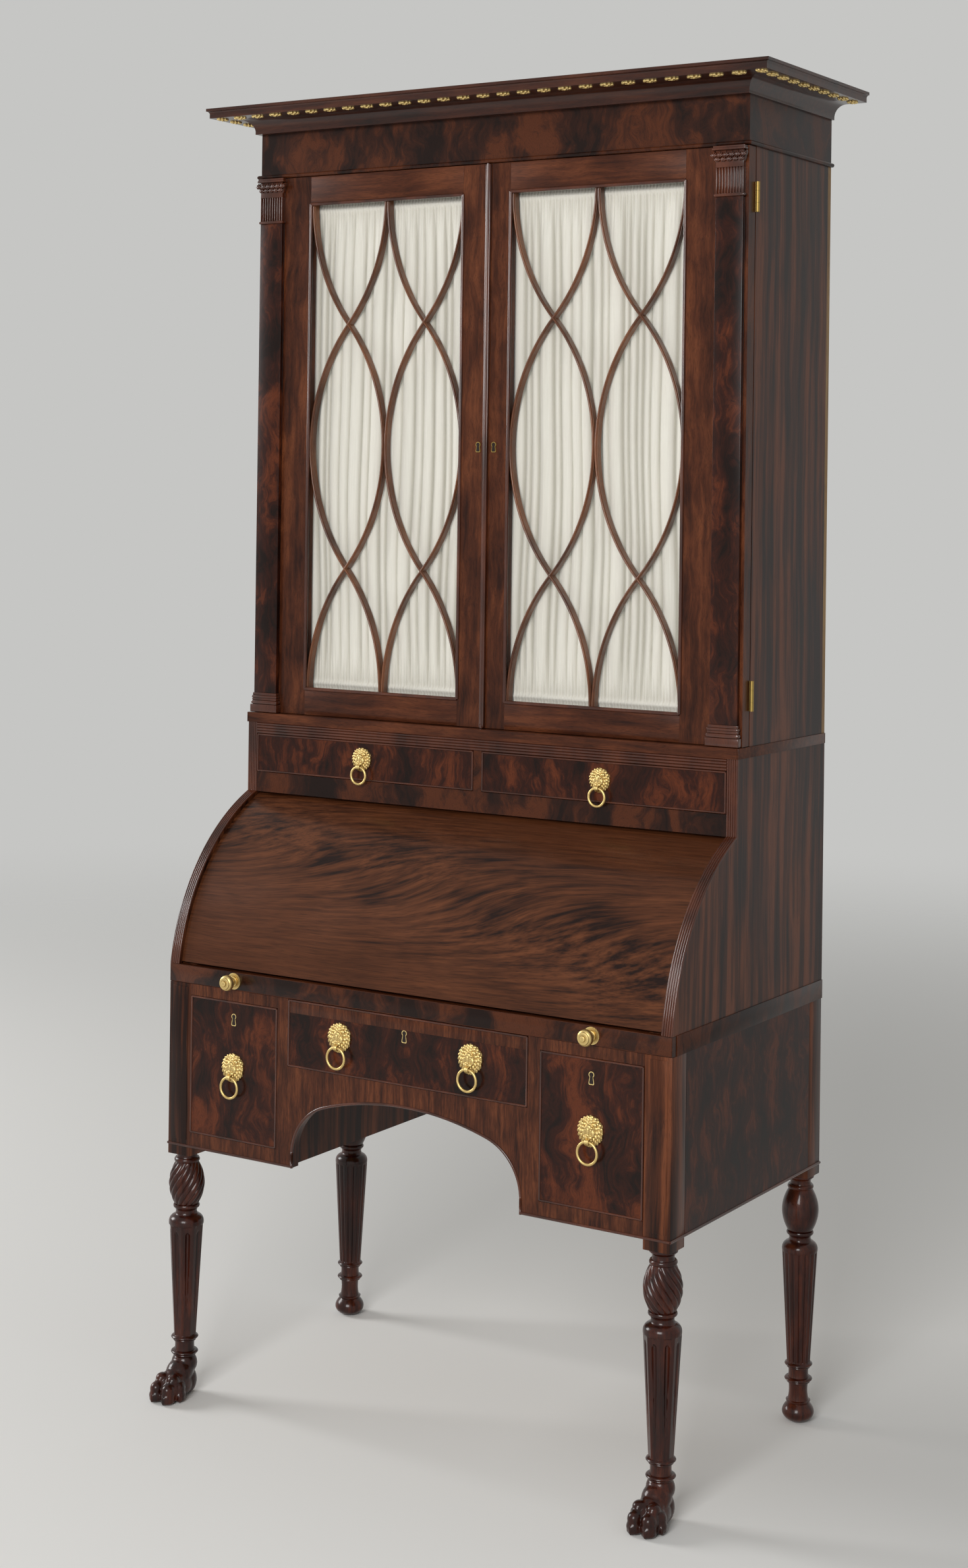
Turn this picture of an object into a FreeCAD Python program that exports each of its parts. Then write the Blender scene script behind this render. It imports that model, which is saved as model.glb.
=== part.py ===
"""Mahogany cylinder desk with a glazed bookcase on top.

The base stands on four turned legs and holds two deep pedestal drawers, a centre drawer over an
arched kneehole and a full-width writing slide. Above it a curved fall runs in grooves in the desk's
sides, under two small drawers. The bookcase has two glazed doors with interlaced bars and gathered
curtains, a frieze and a cornice. Millimetres, +Z up, the front faces -Y, the floor is Z = 0.
"""
import FreeCAD, Part
import math
import os

V = FreeCAD.Vector

# Carcase
CASE_W = 1000.0            # width of the base and the desk
CASE_D = 548.0             # depth from the base's front to the back
LEG_H = 440.0              # floor to the underside of the base
POST = 48.0                # square corner posts, each one piece with its leg
POST_DROP = 16.0           # square block of the post below the base
SIDE_T = 20.0              # sides of the base and of the desk
BACK_T = 12.0              # backs
FRAME_T = 20.0             # front rails, stiles and drawer fronts
RUN = 0.5                  # running clearance of drawers, slide and curved fall

# Base
PEDESTAL_RAIL_H = 27.0     # rail under a pedestal drawer
PEDESTAL_DRAWER_H = 241.0
PEDESTAL_DRAWER_W = 190.0
PEDESTAL_BOTTOM_T = 16.0
TOP_RAIL_H = 19.0          # rail over a pedestal drawer, and the bed the slide runs on
CENTRE_DRAWER_H = 115.0
KNEE_STILE_W = 22.0        # stile and wall between a pedestal and the kneehole
KNEE_CEILING_T = 16.0
ARCH_LEG_W = 11.0          # apron left standing beside the arch
ARCH_RISE = 138.0          # underside of the base to the crown of the arch
ARCH_SPRING_H = 22.0       # straight foot of the arch
ARCH_CORNER_R = 95.0
SLIDE_H = 32.0             # writing slide with its clearance
SLIDE_LIP_T = 13.0         # full-width strip on the slide's front edge
SLIDE_REAR_GAP = 23.0      # closed slide to the back

# Desk
UPPER_Y = 214.0            # the small drawers stand this far behind the base's front
ARC_R = 363.0              # curved front edge of the desk's sides
ARC_H = 282.9              # height of that edge above the writing level
FALL_RECESS = 7.0          # fall lies behind the edge of the sides
FALL_T = 16.0
FALL_LIFT = 1.0            # gap between the closed fall and the writing level
FALL_OVERLAP = 14.0        # length of the closed fall hidden above the edge of the lower rail
FALL_TRAVEL_DEG = 50.0
GROOVE_DEPTH = 8.0
DUSTBOARD_T = 10.0
DUSTBOARD_GAP = 2.4        # between the top of the fall's path and the dustboard
UPPER_DRAWER_H = 70.5
UPPER_RAIL_H = 20.0
UPPER_DIVIDER_W = 16.0
DESK_TOP_T = 16.0

# Pigeonholes
PIGEON_H = 190.0
PIGEON_D = 206.0
PIGEON_BOARD_T = 8.0
PIGEON_LIFT = 3.0          # over the writing level
PIGEON_SHELF_H = 95.0      # underside of the unit to the middle of its shelf
PIGEON_COLUMNS_LOW = 4
PIGEON_COLUMNS_HIGH = 8

# Bookcase
BOOK_INSET = 0.5           # bookcase's sides behind those of the desk
BOOK_FLOOR_H = 17.5
BOOK_FLOOR_OUT = 3.0       # front edge of the floor board before the small drawers
BOOK_SIDE_T = 18.0
BOOK_TOP_T = 18.0
SHELF_COUNT = 3
SHELF_T = 16.0
SHELF_SETBACK = 8.0        # behind the front edges of the bookcase's sides
FRIEZE_SETBACK = 1.0       # behind the door frames
FRIEZE_H = 82.0            # with the astragal at its foot
FRIEZE_T = 18.0
ASTRAGAL_H = 7.0
ASTRAGAL_OUT = 6.0
CORNICE_H = 43.5
CORNICE_OUT = 74.5         # from the cornice's own back line
CORNICE_SIDE_TUCK = 4.5    # that line inside the sides of the frieze
CORNICE_LEAD = 4.5         # that line before the front of the frieze
CORNICE_FASCIA_H = 17.5
CORNICE_FILLET_H = 4.0
CORNICE_OGEE = 5.0         # step of the fascia's crown
CORNICE_BOARD_T = 9.0

# Doors
DOOR_H = 981.0
DOOR_SETBACK = 15.0        # front of the door frames behind the small drawers
DOOR_T = 24.0
DOOR_GAP = 1.0             # over the floor board and under the frieze
DOOR_MEETING_X = -5.0      # the doors meet here, left of the middle, under the edge of the bead
MEETING_BEAD_W = 10.0
MEETING_BEAD_OUT = 6.0
DOOR_STILE_W = 115.5       # outer edge of a door to its glazed opening
INNER_STILE_W = 49.0       # edge where the doors meet to a glazed opening
DOOR_RAIL_LOW = 47.0
DOOR_RAIL_HIGH = 50.5
REBATE = 8.0
REBATE_Y = 17.0            # front of a door to its pane
PANE_T = 3.0
PANE_EASE = 0.5
BAR_W = 5.5                # glazing bars
BAR_SETBACK = 1.5
BAR_COLUMNS = 2
PILASTER_W = 50.0
PILASTER_EDGE = 6.0        # from the door's outer edge
PILASTER_T = 9.0
CAPITAL_H = 27.0
NECK_DROP = 83.0           # top of a pilaster to its necking bead
NECK_H = 6.5
PLINTH_H = 14.0
PILASTER_BASE_H = 35.0
MOULDING_OUT = 5.0         # of capitals and plinths beyond a pilaster
BASE_STEP_SHARE = 0.8      # of that, for the second moulding of the base
CURTAIN_T = 1.6
CURTAIN_FOLDS = 15
CURTAIN_SWELL = 2.4        # height of a fold in the middle of a curtain
CURTAIN_GATHER = 1.5       # height of a fold at the rods
CURTAIN_UNEVEN = 2.0       # how far folds stray from an even spacing
CURTAIN_STRAY = 2.3        # radians of straying from fold to fold
CURTAIN_GAP = 0.5          # between pane and curtain
ROD_R = 2.0
ROD_INSET = 10.0           # from the edge of a sight opening
ROD_CLEAR = 2.0            # between a rod and the curtain's end

# Hinges
HINGE_H = 49.5
HINGE_INSET = 57.0         # from the ends of a door
HINGE_LEAF_T = 1.2
HINGE_LEAF_W = 16.0
HINGE_JOINT = 2.6          # gap between a door and the bookcase's side
KNUCKLE_R = 3.4
KNUCKLE_CLEAR = 0.3
PIN_R = 1.2
PIN_CLEAR = 0.05
KNUCKLE_SHARE = 0.3        # of the hinge's height, for each knuckle of the fixed leaf

# Drawer boxes
BOX_T = 9.0
BOX_BOTTOM_T = 6.0
BOX_BOTTOM_LIFT = 5.0
BASE_BOX_GAP = 76.0        # behind the boxes, up to the back
UPPER_BOX_GAP = 17.0
PEDESTAL_BOX_DROP = 41.0   # edge of a box below the top of its opening
CENTRE_BOX_DROP = 31.0
UPPER_BOX_DROP = 10.5

# Ring pulls: width and height of the lion mask, ring and wire, and the eye in the mouth
BASE_MASK = (44.0, 52.0)
UPPER_MASK = (38.0, 44.0)
BASE_RING_D = 40.0
UPPER_RING_D = 35.0
WIRE_R = 2.3
MASK_EDGE_T = 3.0
MASK_DEPTH = 7.0
MASK_CROWN = 0.45          # of the mask's size, for the flat on its front
EYE_R = 5.0
EYE_W = 5.0
EYE_CLEAR = 0.5
RING_Y = 11.0              # ring's axis in front of the drawer
EYE_DROP = 0.29            # of the mask's height, from its middle down to the eye
PEDESTAL_PULL_Z = 153.0    # pulls above the underside of the base
CENTRE_PULL_Z = 235.0
CENTRE_PULL_X = 131.0
UPPER_PULL_LIFT = 3.0      # above the middle of a small drawer
KEY_W = 10.0
KEY_H = 21.0
KEY_T = 1.5
PEDESTAL_KEY_Z = 236.0
CENTRE_KEY_Z = 254.0
DOOR_KEY_X = 16.0          # from the middle of the front to a door's keyhole
DOOR_KEY_Z = 487.0         # above the foot of a door
DOOR_KEY_W = 7.0
DOOR_KEY_H = 16.0
KNOB_R = 13.0
KNOB_NECK_R = 6.0
KNOB_OUT = 32.0
ROSE_R = 14.0
ROSE_T = 3.0

# Turned legs: heights of the bulb group below its post, and of the foot group above the floor
COLLAR_H = 4.0
NECK_R = 17.5
RING_R = 22.5
RING_H = 8.0
RING_ROUND = 2.0           # ring's edges inside its widest place
NECK_FLARE = 1.0           # ends of a neck beyond its narrowest place
UPPER_NECK_H = 12.0
BULB_R = 31.5
BULB_LEG_H = 73.0
LOWER_NECK_H = 17.0
LOWER_NECK_MIDDLE = 0.6    # of its height, down to its narrowest place
SHOULDER_H = 17.0
SHAFT_TOP_R = 30.5
SHAFT_FOOT_R = 20.0
ANKLE_R = 17.0
ANKLE_TOP = 102.0          # foot of the tapered shaft above the floor
ANKLE_NECK_H = 18.0
PAW_H = 52.0
PAW_REACH = 76.0           # leg's axis to the front of the toes
PAW_HEEL = 22.0
PAW_W = 58.0
TOE_H = 26.0
BALL_R = 26.0
BALL_H = 34.0
BALL_MIDDLE = 0.45         # of its height, up to its widest place
BALL_FLAT_R = 13.0

# Levels
Z_PEDESTAL = LEG_H + PEDESTAL_RAIL_H
Z_BED = Z_PEDESTAL + PEDESTAL_DRAWER_H + TOP_RAIL_H
Z_WRITE = Z_BED + SLIDE_H
Z_CENTRE = Z_BED - CENTRE_DRAWER_H
Z_RAIL_FOOT = Z_WRITE + ARC_H

# Half widths
X_CASE = CASE_W / 2
X_POST = X_CASE - POST
X_INNER = X_CASE - SIDE_T
X_PEDESTAL = X_POST - PEDESTAL_DRAWER_W
X_KNEE = X_PEDESTAL - KNEE_STILE_W
X_ARCH = X_KNEE - ARCH_LEG_W
X_PEDESTAL_MIDDLE = (X_PEDESTAL + X_POST) / 2
X_UPPER_PULL = (UPPER_DIVIDER_W / 2 + X_INNER) / 2
X_BOOK = X_CASE - BOOK_INSET
X_BOOK_INNER = X_BOOK - BOOK_SIDE_T
X_SIGHT = X_BOOK - DOOR_STILE_W
X_CORNICE = X_BOOK - CORNICE_SIDE_TUCK

# Depths
Y_BACK = CASE_D - BACK_T
Y_LEG = POST / 2
X_LEG = X_CASE - POST / 2
Y_UPPER_RAIL = UPPER_Y + FRAME_T
Y_DOOR = UPPER_Y + DOOR_SETBACK
DOOR_BACK = Y_DOOR + DOOR_T
Y_FRIEZE = Y_DOOR + FRIEZE_SETBACK
Y_CORNICE = Y_FRIEZE - CORNICE_LEAD
Y_BOOK_SIDE = DOOR_BACK + HINGE_JOINT
ORIGIN_Y = (CASE_D + BULB_R - PAW_REACH) / 2    # midway between the toes and the rear bulbs

# The centre of the curved edge is found from its two ends and its radius.
CHORD = math.hypot(UPPER_Y, ARC_H)
CHORD_DROP = math.sqrt(ARC_R ** 2 - CHORD ** 2 / 4) / CHORD
ARC_Y = UPPER_Y / 2 + ARC_H * CHORD_DROP
ARC_Z = Z_WRITE + ARC_H / 2 - UPPER_Y * CHORD_DROP
FALL_R = ARC_R - FALL_RECESS
FALL_FOOT_ANGLE = math.pi - math.asin((Z_WRITE + FALL_LIFT - ARC_Z) / (FALL_R - FALL_T))
FALL_HEAD_ANGLE = math.atan2(Z_RAIL_FOOT - ARC_Z, UPPER_Y - ARC_Y) - FALL_OVERLAP / FALL_R

Z_DUSTBOARD = ARC_Z + FALL_R + DUSTBOARD_GAP
Z_UPPER = Z_DUSTBOARD + DUSTBOARD_T
Z_UPPER_RAIL = Z_UPPER + UPPER_DRAWER_H
Z_DESK_TOP = Z_UPPER_RAIL + UPPER_RAIL_H
Z_BOOK = Z_DESK_TOP + BOOK_FLOOR_H
Z_DOOR = Z_BOOK + DOOR_GAP
Z_DOOR_TOP = Z_DOOR + DOOR_H - 2 * DOOR_GAP
Z_FRIEZE = Z_BOOK + DOOR_H
Z_CORNICE = Z_FRIEZE + FRIEZE_H
Z_TOP = Z_CORNICE + CORNICE_H
Z_SIGHT = Z_DOOR + DOOR_RAIL_LOW
Z_SIGHT_TOP = Z_DOOR_TOP - DOOR_RAIL_HIGH
PIN_X = X_BOOK + KNUCKLE_R + KNUCKLE_CLEAR
PIN_Y = DOOR_BACK + HINGE_JOINT / 2


def box(x0, x1, y0, y1, z0, z1):
    """Board between two corners."""
    return Part.makeBox(x1 - x0, y1 - y0, z1 - z0, V(x0, y0, z0))


def mirrored(shape):
    """The same piece on the other side of the desk."""
    return shape.mirror(V(0, 0, 0), V(1, 0, 0))


def pair(shape):
    return [shape, mirrored(shape)]


def outline(start, moves, place):
    """Closed wire of lines, one point per move, and arcs, a middle and an end; place makes the points."""
    edges = []
    here = start
    for move in moves:
        end = move[-1]
        if len(move) == 1:
            edges.append(Part.LineSegment(place(*here), place(*end)).toShape())
        else:
            edges.append(Part.Arc(place(*here), place(*move[0]), place(*end)).toShape())
        here = end
    edges.append(Part.LineSegment(place(*here), place(*start)).toShape())
    return Part.Wire(edges)


def slab_x(start, moves, x0, x1):
    """Outline of (y, z) points cut out between x0 and x1."""
    wire = outline(start, moves, lambda y, z: V(x0, y, z))
    return Part.Face(wire).extrude(V(x1 - x0, 0, 0))


def slab_y(start, moves, y0, y1):
    """Outline of (x, z) points cut out between y0 and y1."""
    wire = outline(start, moves, lambda x, z: V(x, y0, z))
    return Part.Face(wire).extrude(V(0, y1 - y0, 0))


def lathe(start, moves):
    """Turned solid about Z from (radius, z) points."""
    wire = outline(start, moves, lambda r, z: V(r, 0, z))
    return Part.Face(wire).revolve(V(0, 0, 0), V(0, 0, 1), 360)


def on_arc(radius, angle):
    """Point (y, z) on a circle about the fall's axis."""
    return (ARC_Y + radius * math.cos(angle), ARC_Z + radius * math.sin(angle))


def arc_band(r0, r1, from_angle, to_angle, x0, x1):
    """Curved board about the fall's axis."""
    middle = (from_angle + to_angle) / 2
    moves = [(on_arc(r1, middle), on_arc(r1, to_angle)), (on_arc(r0, to_angle),),
             (on_arc(r0, middle), on_arc(r0, from_angle))]
    return slab_x(on_arc(r1, from_angle), moves, x0, x1)


def ellipse_y(width, height, x, y, z):
    """Upright ellipse in a plane across Y."""
    if height > width:
        curve = Part.Ellipse(V(x, y, z + height / 2), V(x + width / 2, y, z), V(x, y, z))
    else:
        curve = Part.Ellipse(V(x + width / 2, y, z), V(x, y, z + height / 2), V(x, y, z))
    return Part.Wire([curve.toShape()])


def save(name, solids):
    """One file per node, moved so that the origin is under the middle of the whole desk."""
    group = Part.makeCompound(solids)
    group.translate(V(0, -ORIGIN_Y, 0))
    group.exportStep("parts/" + name + ".step")


# Legs and posts

def swell_middle(start, end):
    """Middle of the arc that swells from start and runs straight down where it reaches end."""
    out = end[0] - start[0]
    drop = start[1] - end[1]
    radius = (out ** 2 + drop ** 2) / (2 * out)
    half_turn = math.atan2(drop, radius - out) / 2
    return (end[0] - radius * (1 - math.cos(half_turn)), end[1] + radius * math.sin(half_turn))


def turned_leg(foot_moves):
    """Bulb, collars and tapered shaft; foot_moves carries the outline from the ankle to the floor."""
    top = LEG_H - POST_DROP
    ring = top - COLLAR_H - UPPER_NECK_H
    bulb = ring - RING_H
    bulb_foot = bulb - BULB_LEG_H
    shoulder = bulb_foot - LOWER_NECK_H
    shaft = shoulder - SHOULDER_H
    edge = RING_R - RING_ROUND
    moves = [((RING_R, top),), ((RING_R, top - COLLAR_H),),
             ((NECK_R, top - COLLAR_H - UPPER_NECK_H / 2), (NECK_R + NECK_FLARE, ring)), ((edge, ring),),
             ((RING_R, ring - RING_H / 2), (edge, bulb)),
             ((BULB_R, bulb - BULB_LEG_H / 2), (edge, bulb_foot)), ((RING_R, bulb_foot),),
             ((RING_R, bulb_foot - LOWER_NECK_H / 4),),
             ((NECK_R + NECK_FLARE, bulb_foot - LOWER_NECK_H * LOWER_NECK_MIDDLE), (edge, shoulder)),
             (swell_middle((edge, shoulder), (SHAFT_TOP_R, shaft)), (SHAFT_TOP_R, shaft)),
             ((SHAFT_FOOT_R, ANKLE_TOP),), ((RING_R, ANKLE_TOP),)]
    return lathe((0, top), moves + foot_moves)


def paw():
    """Foot pointing to the front, its toes on the floor, about a leg's axis at y = 0."""
    sole = (PAW_HEEL, 0)
    moves = [((-PAW_REACH + TOE_H / 4, 0),),
             ((-PAW_REACH, TOE_H / 2), (-PAW_REACH + TOE_H / 4, TOE_H)),
             ((-PAW_REACH / 2, TOE_H * 1.5), (-ANKLE_R, PAW_H + TOE_H / 2)), ((ANKLE_R, PAW_H + TOE_H / 2),),
             ((ANKLE_R + NECK_FLARE, PAW_H / 2), (PAW_HEEL, TOE_H / 2))]
    return slab_x(sole, moves, -PAW_W / 2, PAW_W / 2)


def legs():
    neck = ANKLE_TOP - RING_H
    ankle = neck - ANKLE_NECK_H
    low_ring = [((RING_R, neck),), ((ANKLE_R, neck - ANKLE_NECK_H / 2), (ANKLE_R + NECK_FLARE, ankle)),
                ((RING_R, ankle),)]
    paw_end = [((RING_R, ankle - RING_H / 2),), ((ANKLE_R, PAW_H),), ((0, PAW_H),)]
    ball_end = [((RING_R, ankle - RING_H / 2),),
                ((ANKLE_R, (ankle + BALL_H) / 2), (ANKLE_R + NECK_FLARE, BALL_H)),
                ((BALL_R, BALL_H * BALL_MIDDLE), (BALL_FLAT_R, 0)), ((0, 0),)]
    z_block = LEG_H - POST_DROP
    lip_y = SLIDE_LIP_T + RUN
    front_post = box(X_POST, X_CASE, 0, POST, z_block, Z_BED)
    front_post = front_post.fuse(box(X_POST, X_CASE, lip_y, POST, Z_BED, Z_WRITE))
    rear_post = box(X_POST, X_CASE, CASE_D - POST, CASE_D, z_block, Z_WRITE)
    front_turned = turned_leg(low_ring + paw_end).fuse(paw())
    front_turned.translate(V(X_LEG, Y_LEG, 0))
    rear_turned = turned_leg(low_ring + ball_end)
    rear_turned.translate(V(X_LEG, CASE_D - Y_LEG, 0))
    front = front_post.fuse(front_turned).removeSplitter()
    rear = rear_post.fuse(rear_turned).removeSplitter()
    save("front_right_leg", [front])
    save("front_left_leg", [mirrored(front)])
    save("rear_right_leg", [rear])
    save("rear_left_leg", [mirrored(rear)])


# Base carcase

def base_carcase():
    y_rear_post = CASE_D - POST
    save("base_sides", pair(box(X_INNER, X_CASE, POST, y_rear_post, LEG_H, Z_WRITE)))
    back = box(X_KNEE, X_POST, Y_BACK, CASE_D, LEG_H, Z_WRITE)
    back_middle = box(-X_KNEE, X_KNEE, Y_BACK, CASE_D, Z_CENTRE - KNEE_CEILING_T, Z_WRITE)
    save("base_back", pair(back) + [back_middle])
    z_under_bed = Z_BED - TOP_RAIL_H
    save("kneehole_walls", pair(box(X_KNEE, X_PEDESTAL, FRAME_T, Y_BACK, LEG_H, z_under_bed)))
    bottom = box(X_PEDESTAL, X_POST, FRAME_T, Y_BACK, Z_PEDESTAL - PEDESTAL_BOTTOM_T, Z_PEDESTAL)
    guide = box(X_POST, X_INNER, POST, y_rear_post, Z_PEDESTAL - PEDESTAL_BOTTOM_T, Z_PEDESTAL + POST)
    save("pedestal_bottoms", pair(bottom) + pair(guide))
    ceiling = box(-X_KNEE, X_KNEE, FRAME_T, Y_BACK, Z_CENTRE - KNEE_CEILING_T, Z_CENTRE)
    bed = box(-X_POST, X_POST, FRAME_T, Y_BACK, z_under_bed, Z_BED)
    runner = box(X_POST, X_INNER, POST, y_rear_post, z_under_bed, Z_WRITE)
    save("slide_bed_and_knee_ceiling", [bed, ceiling] + pair(runner))


def base_front():
    """Rails and stiles round the drawers, and the apron with its basket arch."""
    z_under_bed = Z_BED - TOP_RAIL_H
    low_rail = box(X_PEDESTAL, X_POST, 0, FRAME_T, LEG_H, Z_PEDESTAL)
    top_rail = box(X_KNEE, X_POST, 0, FRAME_T, z_under_bed, Z_BED)
    stile = box(X_KNEE, X_PEDESTAL, 0, FRAME_T, LEG_H, z_under_bed)
    # The crown's radius makes its arc run into the corner arcs without a kink.
    corner_x = X_ARCH - ARCH_CORNER_R
    crown = LEG_H + ARCH_RISE
    spring = LEG_H + ARCH_SPRING_H
    rise = crown - spring
    crown_r = (corner_x ** 2 + rise ** 2 - ARCH_CORNER_R ** 2) / (2 * (rise - ARCH_CORNER_R))
    crown_z = crown - crown_r
    tilt = math.atan2(corner_x, spring - crown_z)
    meet = (crown_r * math.sin(tilt), crown_z + crown_r * math.cos(tilt))
    middle_angle = (math.pi / 2 - tilt) / 2
    corner = (corner_x + ARCH_CORNER_R * math.cos(middle_angle),
              spring + ARCH_CORNER_R * math.sin(middle_angle))
    moves = [((X_ARCH, spring),), (corner, meet), ((0, crown), (-meet[0], meet[1])),
             ((-corner[0], corner[1]), (-X_ARCH, spring)), ((-X_ARCH, LEG_H),), ((-X_KNEE, LEG_H),),
             ((-X_KNEE, Z_CENTRE),), ((X_KNEE, Z_CENTRE),), ((X_KNEE, LEG_H),)]
    apron = slab_y((X_ARCH, LEG_H), moves, 0, FRAME_T)
    save("arch_apron", [apron])
    save("base_front_rails", pair(low_rail) + pair(top_rail) + pair(stile))


def writing_slide():
    z0 = Z_BED + RUN
    z1 = Z_WRITE - RUN
    strip = box(-X_CASE, X_CASE, 0, SLIDE_LIP_T, z0, z1)
    board = box(-X_POST + RUN, X_POST - RUN, SLIDE_LIP_T, Y_BACK - SLIDE_REAR_GAP, z0, z1)
    save("writing_slide", [strip, board])
    ball = KNOB_OUT - 2 * math.sqrt(KNOB_R ** 2 - KNOB_NECK_R ** 2)
    moves = [((ROSE_R, 0),), ((ROSE_R, ROSE_T),), ((KNOB_NECK_R, ROSE_T),), ((KNOB_NECK_R, ball),),
             ((KNOB_R, (ball + KNOB_OUT) / 2), (KNOB_NECK_R, KNOB_OUT)), ((0, KNOB_OUT),)]
    knob = lathe((0, 0), moves)
    knob.rotate(V(0, 0, 0), V(1, 0, 0), 90)
    knob.translate(V(X_PEDESTAL_MIDDLE, 0, Z_BED + SLIDE_H / 2))
    save("slide_knobs", pair(knob))


# Desk above the writing level

def desk_carcase():
    edge_angle = math.pi - math.asin((Z_WRITE - ARC_Z) / ARC_R)
    rail_angle = math.atan2(Z_RAIL_FOOT - ARC_Z, UPPER_Y - ARC_Y)
    foot = on_arc(ARC_R, edge_angle)
    moves = [(on_arc(ARC_R, (edge_angle + rail_angle) / 2), (UPPER_Y, Z_RAIL_FOOT)),
             ((UPPER_Y, Z_DESK_TOP),), ((CASE_D, Z_DESK_TOP),), ((CASE_D, Z_WRITE),)]
    side = slab_x(foot, moves, X_INNER, X_CASE)
    groove_head = FALL_HEAD_ANGLE - math.radians(FALL_TRAVEL_DEG) - RUN / FALL_R * 2
    groove_foot = FALL_FOOT_ANGLE + (FALL_LIFT + FALL_T) / FALL_R
    groove = arc_band(FALL_R - FALL_T - RUN, FALL_R + RUN, groove_foot, groove_head,
                      X_INNER - GROOVE_DEPTH, X_INNER + GROOVE_DEPTH)
    save("desk_sides", pair(side.cut(groove)))
    save("desk_back", [box(-X_INNER, X_INNER, Y_BACK, CASE_D, Z_WRITE, Z_DESK_TOP)])

    top_rail = box(-X_INNER, X_INNER, UPPER_Y, Y_UPPER_RAIL, Z_UPPER_RAIL, Z_DESK_TOP)
    low_rail = box(-X_INNER, X_INNER, UPPER_Y, Y_UPPER_RAIL, Z_RAIL_FOOT, Z_UPPER)
    path = Part.makeCylinder(FALL_R + RUN, 2 * X_CASE, V(-X_CASE, ARC_Y, ARC_Z), V(1, 0, 0))
    half = UPPER_DIVIDER_W / 2
    divider = box(-half, half, UPPER_Y, Y_UPPER_RAIL, Z_UPPER, Z_UPPER_RAIL)
    partition = box(-half, half, Y_UPPER_RAIL, Y_BACK, Z_UPPER, Z_DESK_TOP - DESK_TOP_T)
    save("upper_drawer_rails", [top_rail, low_rail.cut(path), divider, partition])
    dustboard = box(-X_INNER, X_INNER, Y_UPPER_RAIL, Y_BACK, Z_DUSTBOARD, Z_UPPER)
    top = box(-X_INNER, X_INNER, Y_UPPER_RAIL, Y_BACK, Z_DESK_TOP - DESK_TOP_T, Z_DESK_TOP)
    save("upper_drawer_boards", [dustboard, top])


def cylinder_fall():
    reach = X_INNER + GROOVE_DEPTH - RUN
    fall = arc_band(FALL_R - FALL_T, FALL_R, FALL_FOOT_ANGLE, FALL_HEAD_ANGLE, -reach, reach)
    save("cylinder_fall", [fall])


def pigeonholes():
    """Open compartments behind the fall, standing against the back between the desk's sides."""
    t = PIGEON_BOARD_T
    y0 = Y_BACK - PIGEON_D
    z0 = Z_WRITE + PIGEON_LIFT
    z1 = z0 + PIGEON_H
    z_shelf = z0 + PIGEON_SHELF_H - t / 2
    inner = X_INNER - t
    levels = [(z0, PIGEON_COLUMNS_LOW, z0 + t, z_shelf), (z_shelf, PIGEON_COLUMNS_HIGH, z_shelf + t, z1 - t)]
    boards = pair(box(inner, X_INNER, y0, Y_BACK, z0, z1))
    boards.append(box(-inner, inner, y0, Y_BACK, z1 - t, z1))
    for z, columns, low, high in levels:
        boards.append(box(-inner, inner, y0, Y_BACK, z, z + t))
        pitch = (2 * inner + t) / columns
        for i in range(1, columns):
            x = -inner - t + i * pitch
            boards.append(box(x, x + t, y0, Y_BACK, low, high))
    save("pigeonhole_unit", boards)


# Bookcase

def bookcase_carcase():
    y0 = Y_BOOK_SIDE
    floor = box(-X_CASE, X_CASE, UPPER_Y - BOOK_FLOOR_OUT, CASE_D, Z_DESK_TOP, Z_BOOK)
    top = box(-X_BOOK_INNER, X_BOOK_INNER, y0, Y_BACK, Z_FRIEZE - BOOK_TOP_T, Z_FRIEZE)
    save("bookcase_floor", [floor])
    save("bookcase_sides", pair(box(X_BOOK_INNER, X_BOOK, y0, Y_BACK, Z_BOOK, Z_FRIEZE)))
    save("bookcase_back", [box(-X_BOOK, X_BOOK, Y_BACK, CASE_D, Z_BOOK, Z_FRIEZE)])
    bay = (Z_FRIEZE - BOOK_TOP_T - Z_BOOK - SHELF_COUNT * SHELF_T) / (SHELF_COUNT + 1)
    shelves = [top]
    for i in range(SHELF_COUNT):
        z = Z_BOOK + bay + i * (bay + SHELF_T)
        shelves.append(box(-X_BOOK_INNER, X_BOOK_INNER, y0 + SHELF_SETBACK, Y_BACK, z, z + SHELF_T))
    save("bookcase_top_and_shelves", shelves)


def moulding(line_x, line_y, start, moves):
    """Moulding round the front and both sides, mitred; its outline is (distance out, z)."""
    path = Part.makePolygon([V(-line_x, CASE_D, 0), V(-line_x, line_y, 0), V(line_x, line_y, 0),
                             V(line_x, CASE_D, 0)])
    profile = outline(start, moves, lambda out, z: V(-line_x - out, CASE_D, z))
    return path.makePipeShell([profile], True, False, 1)


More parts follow.
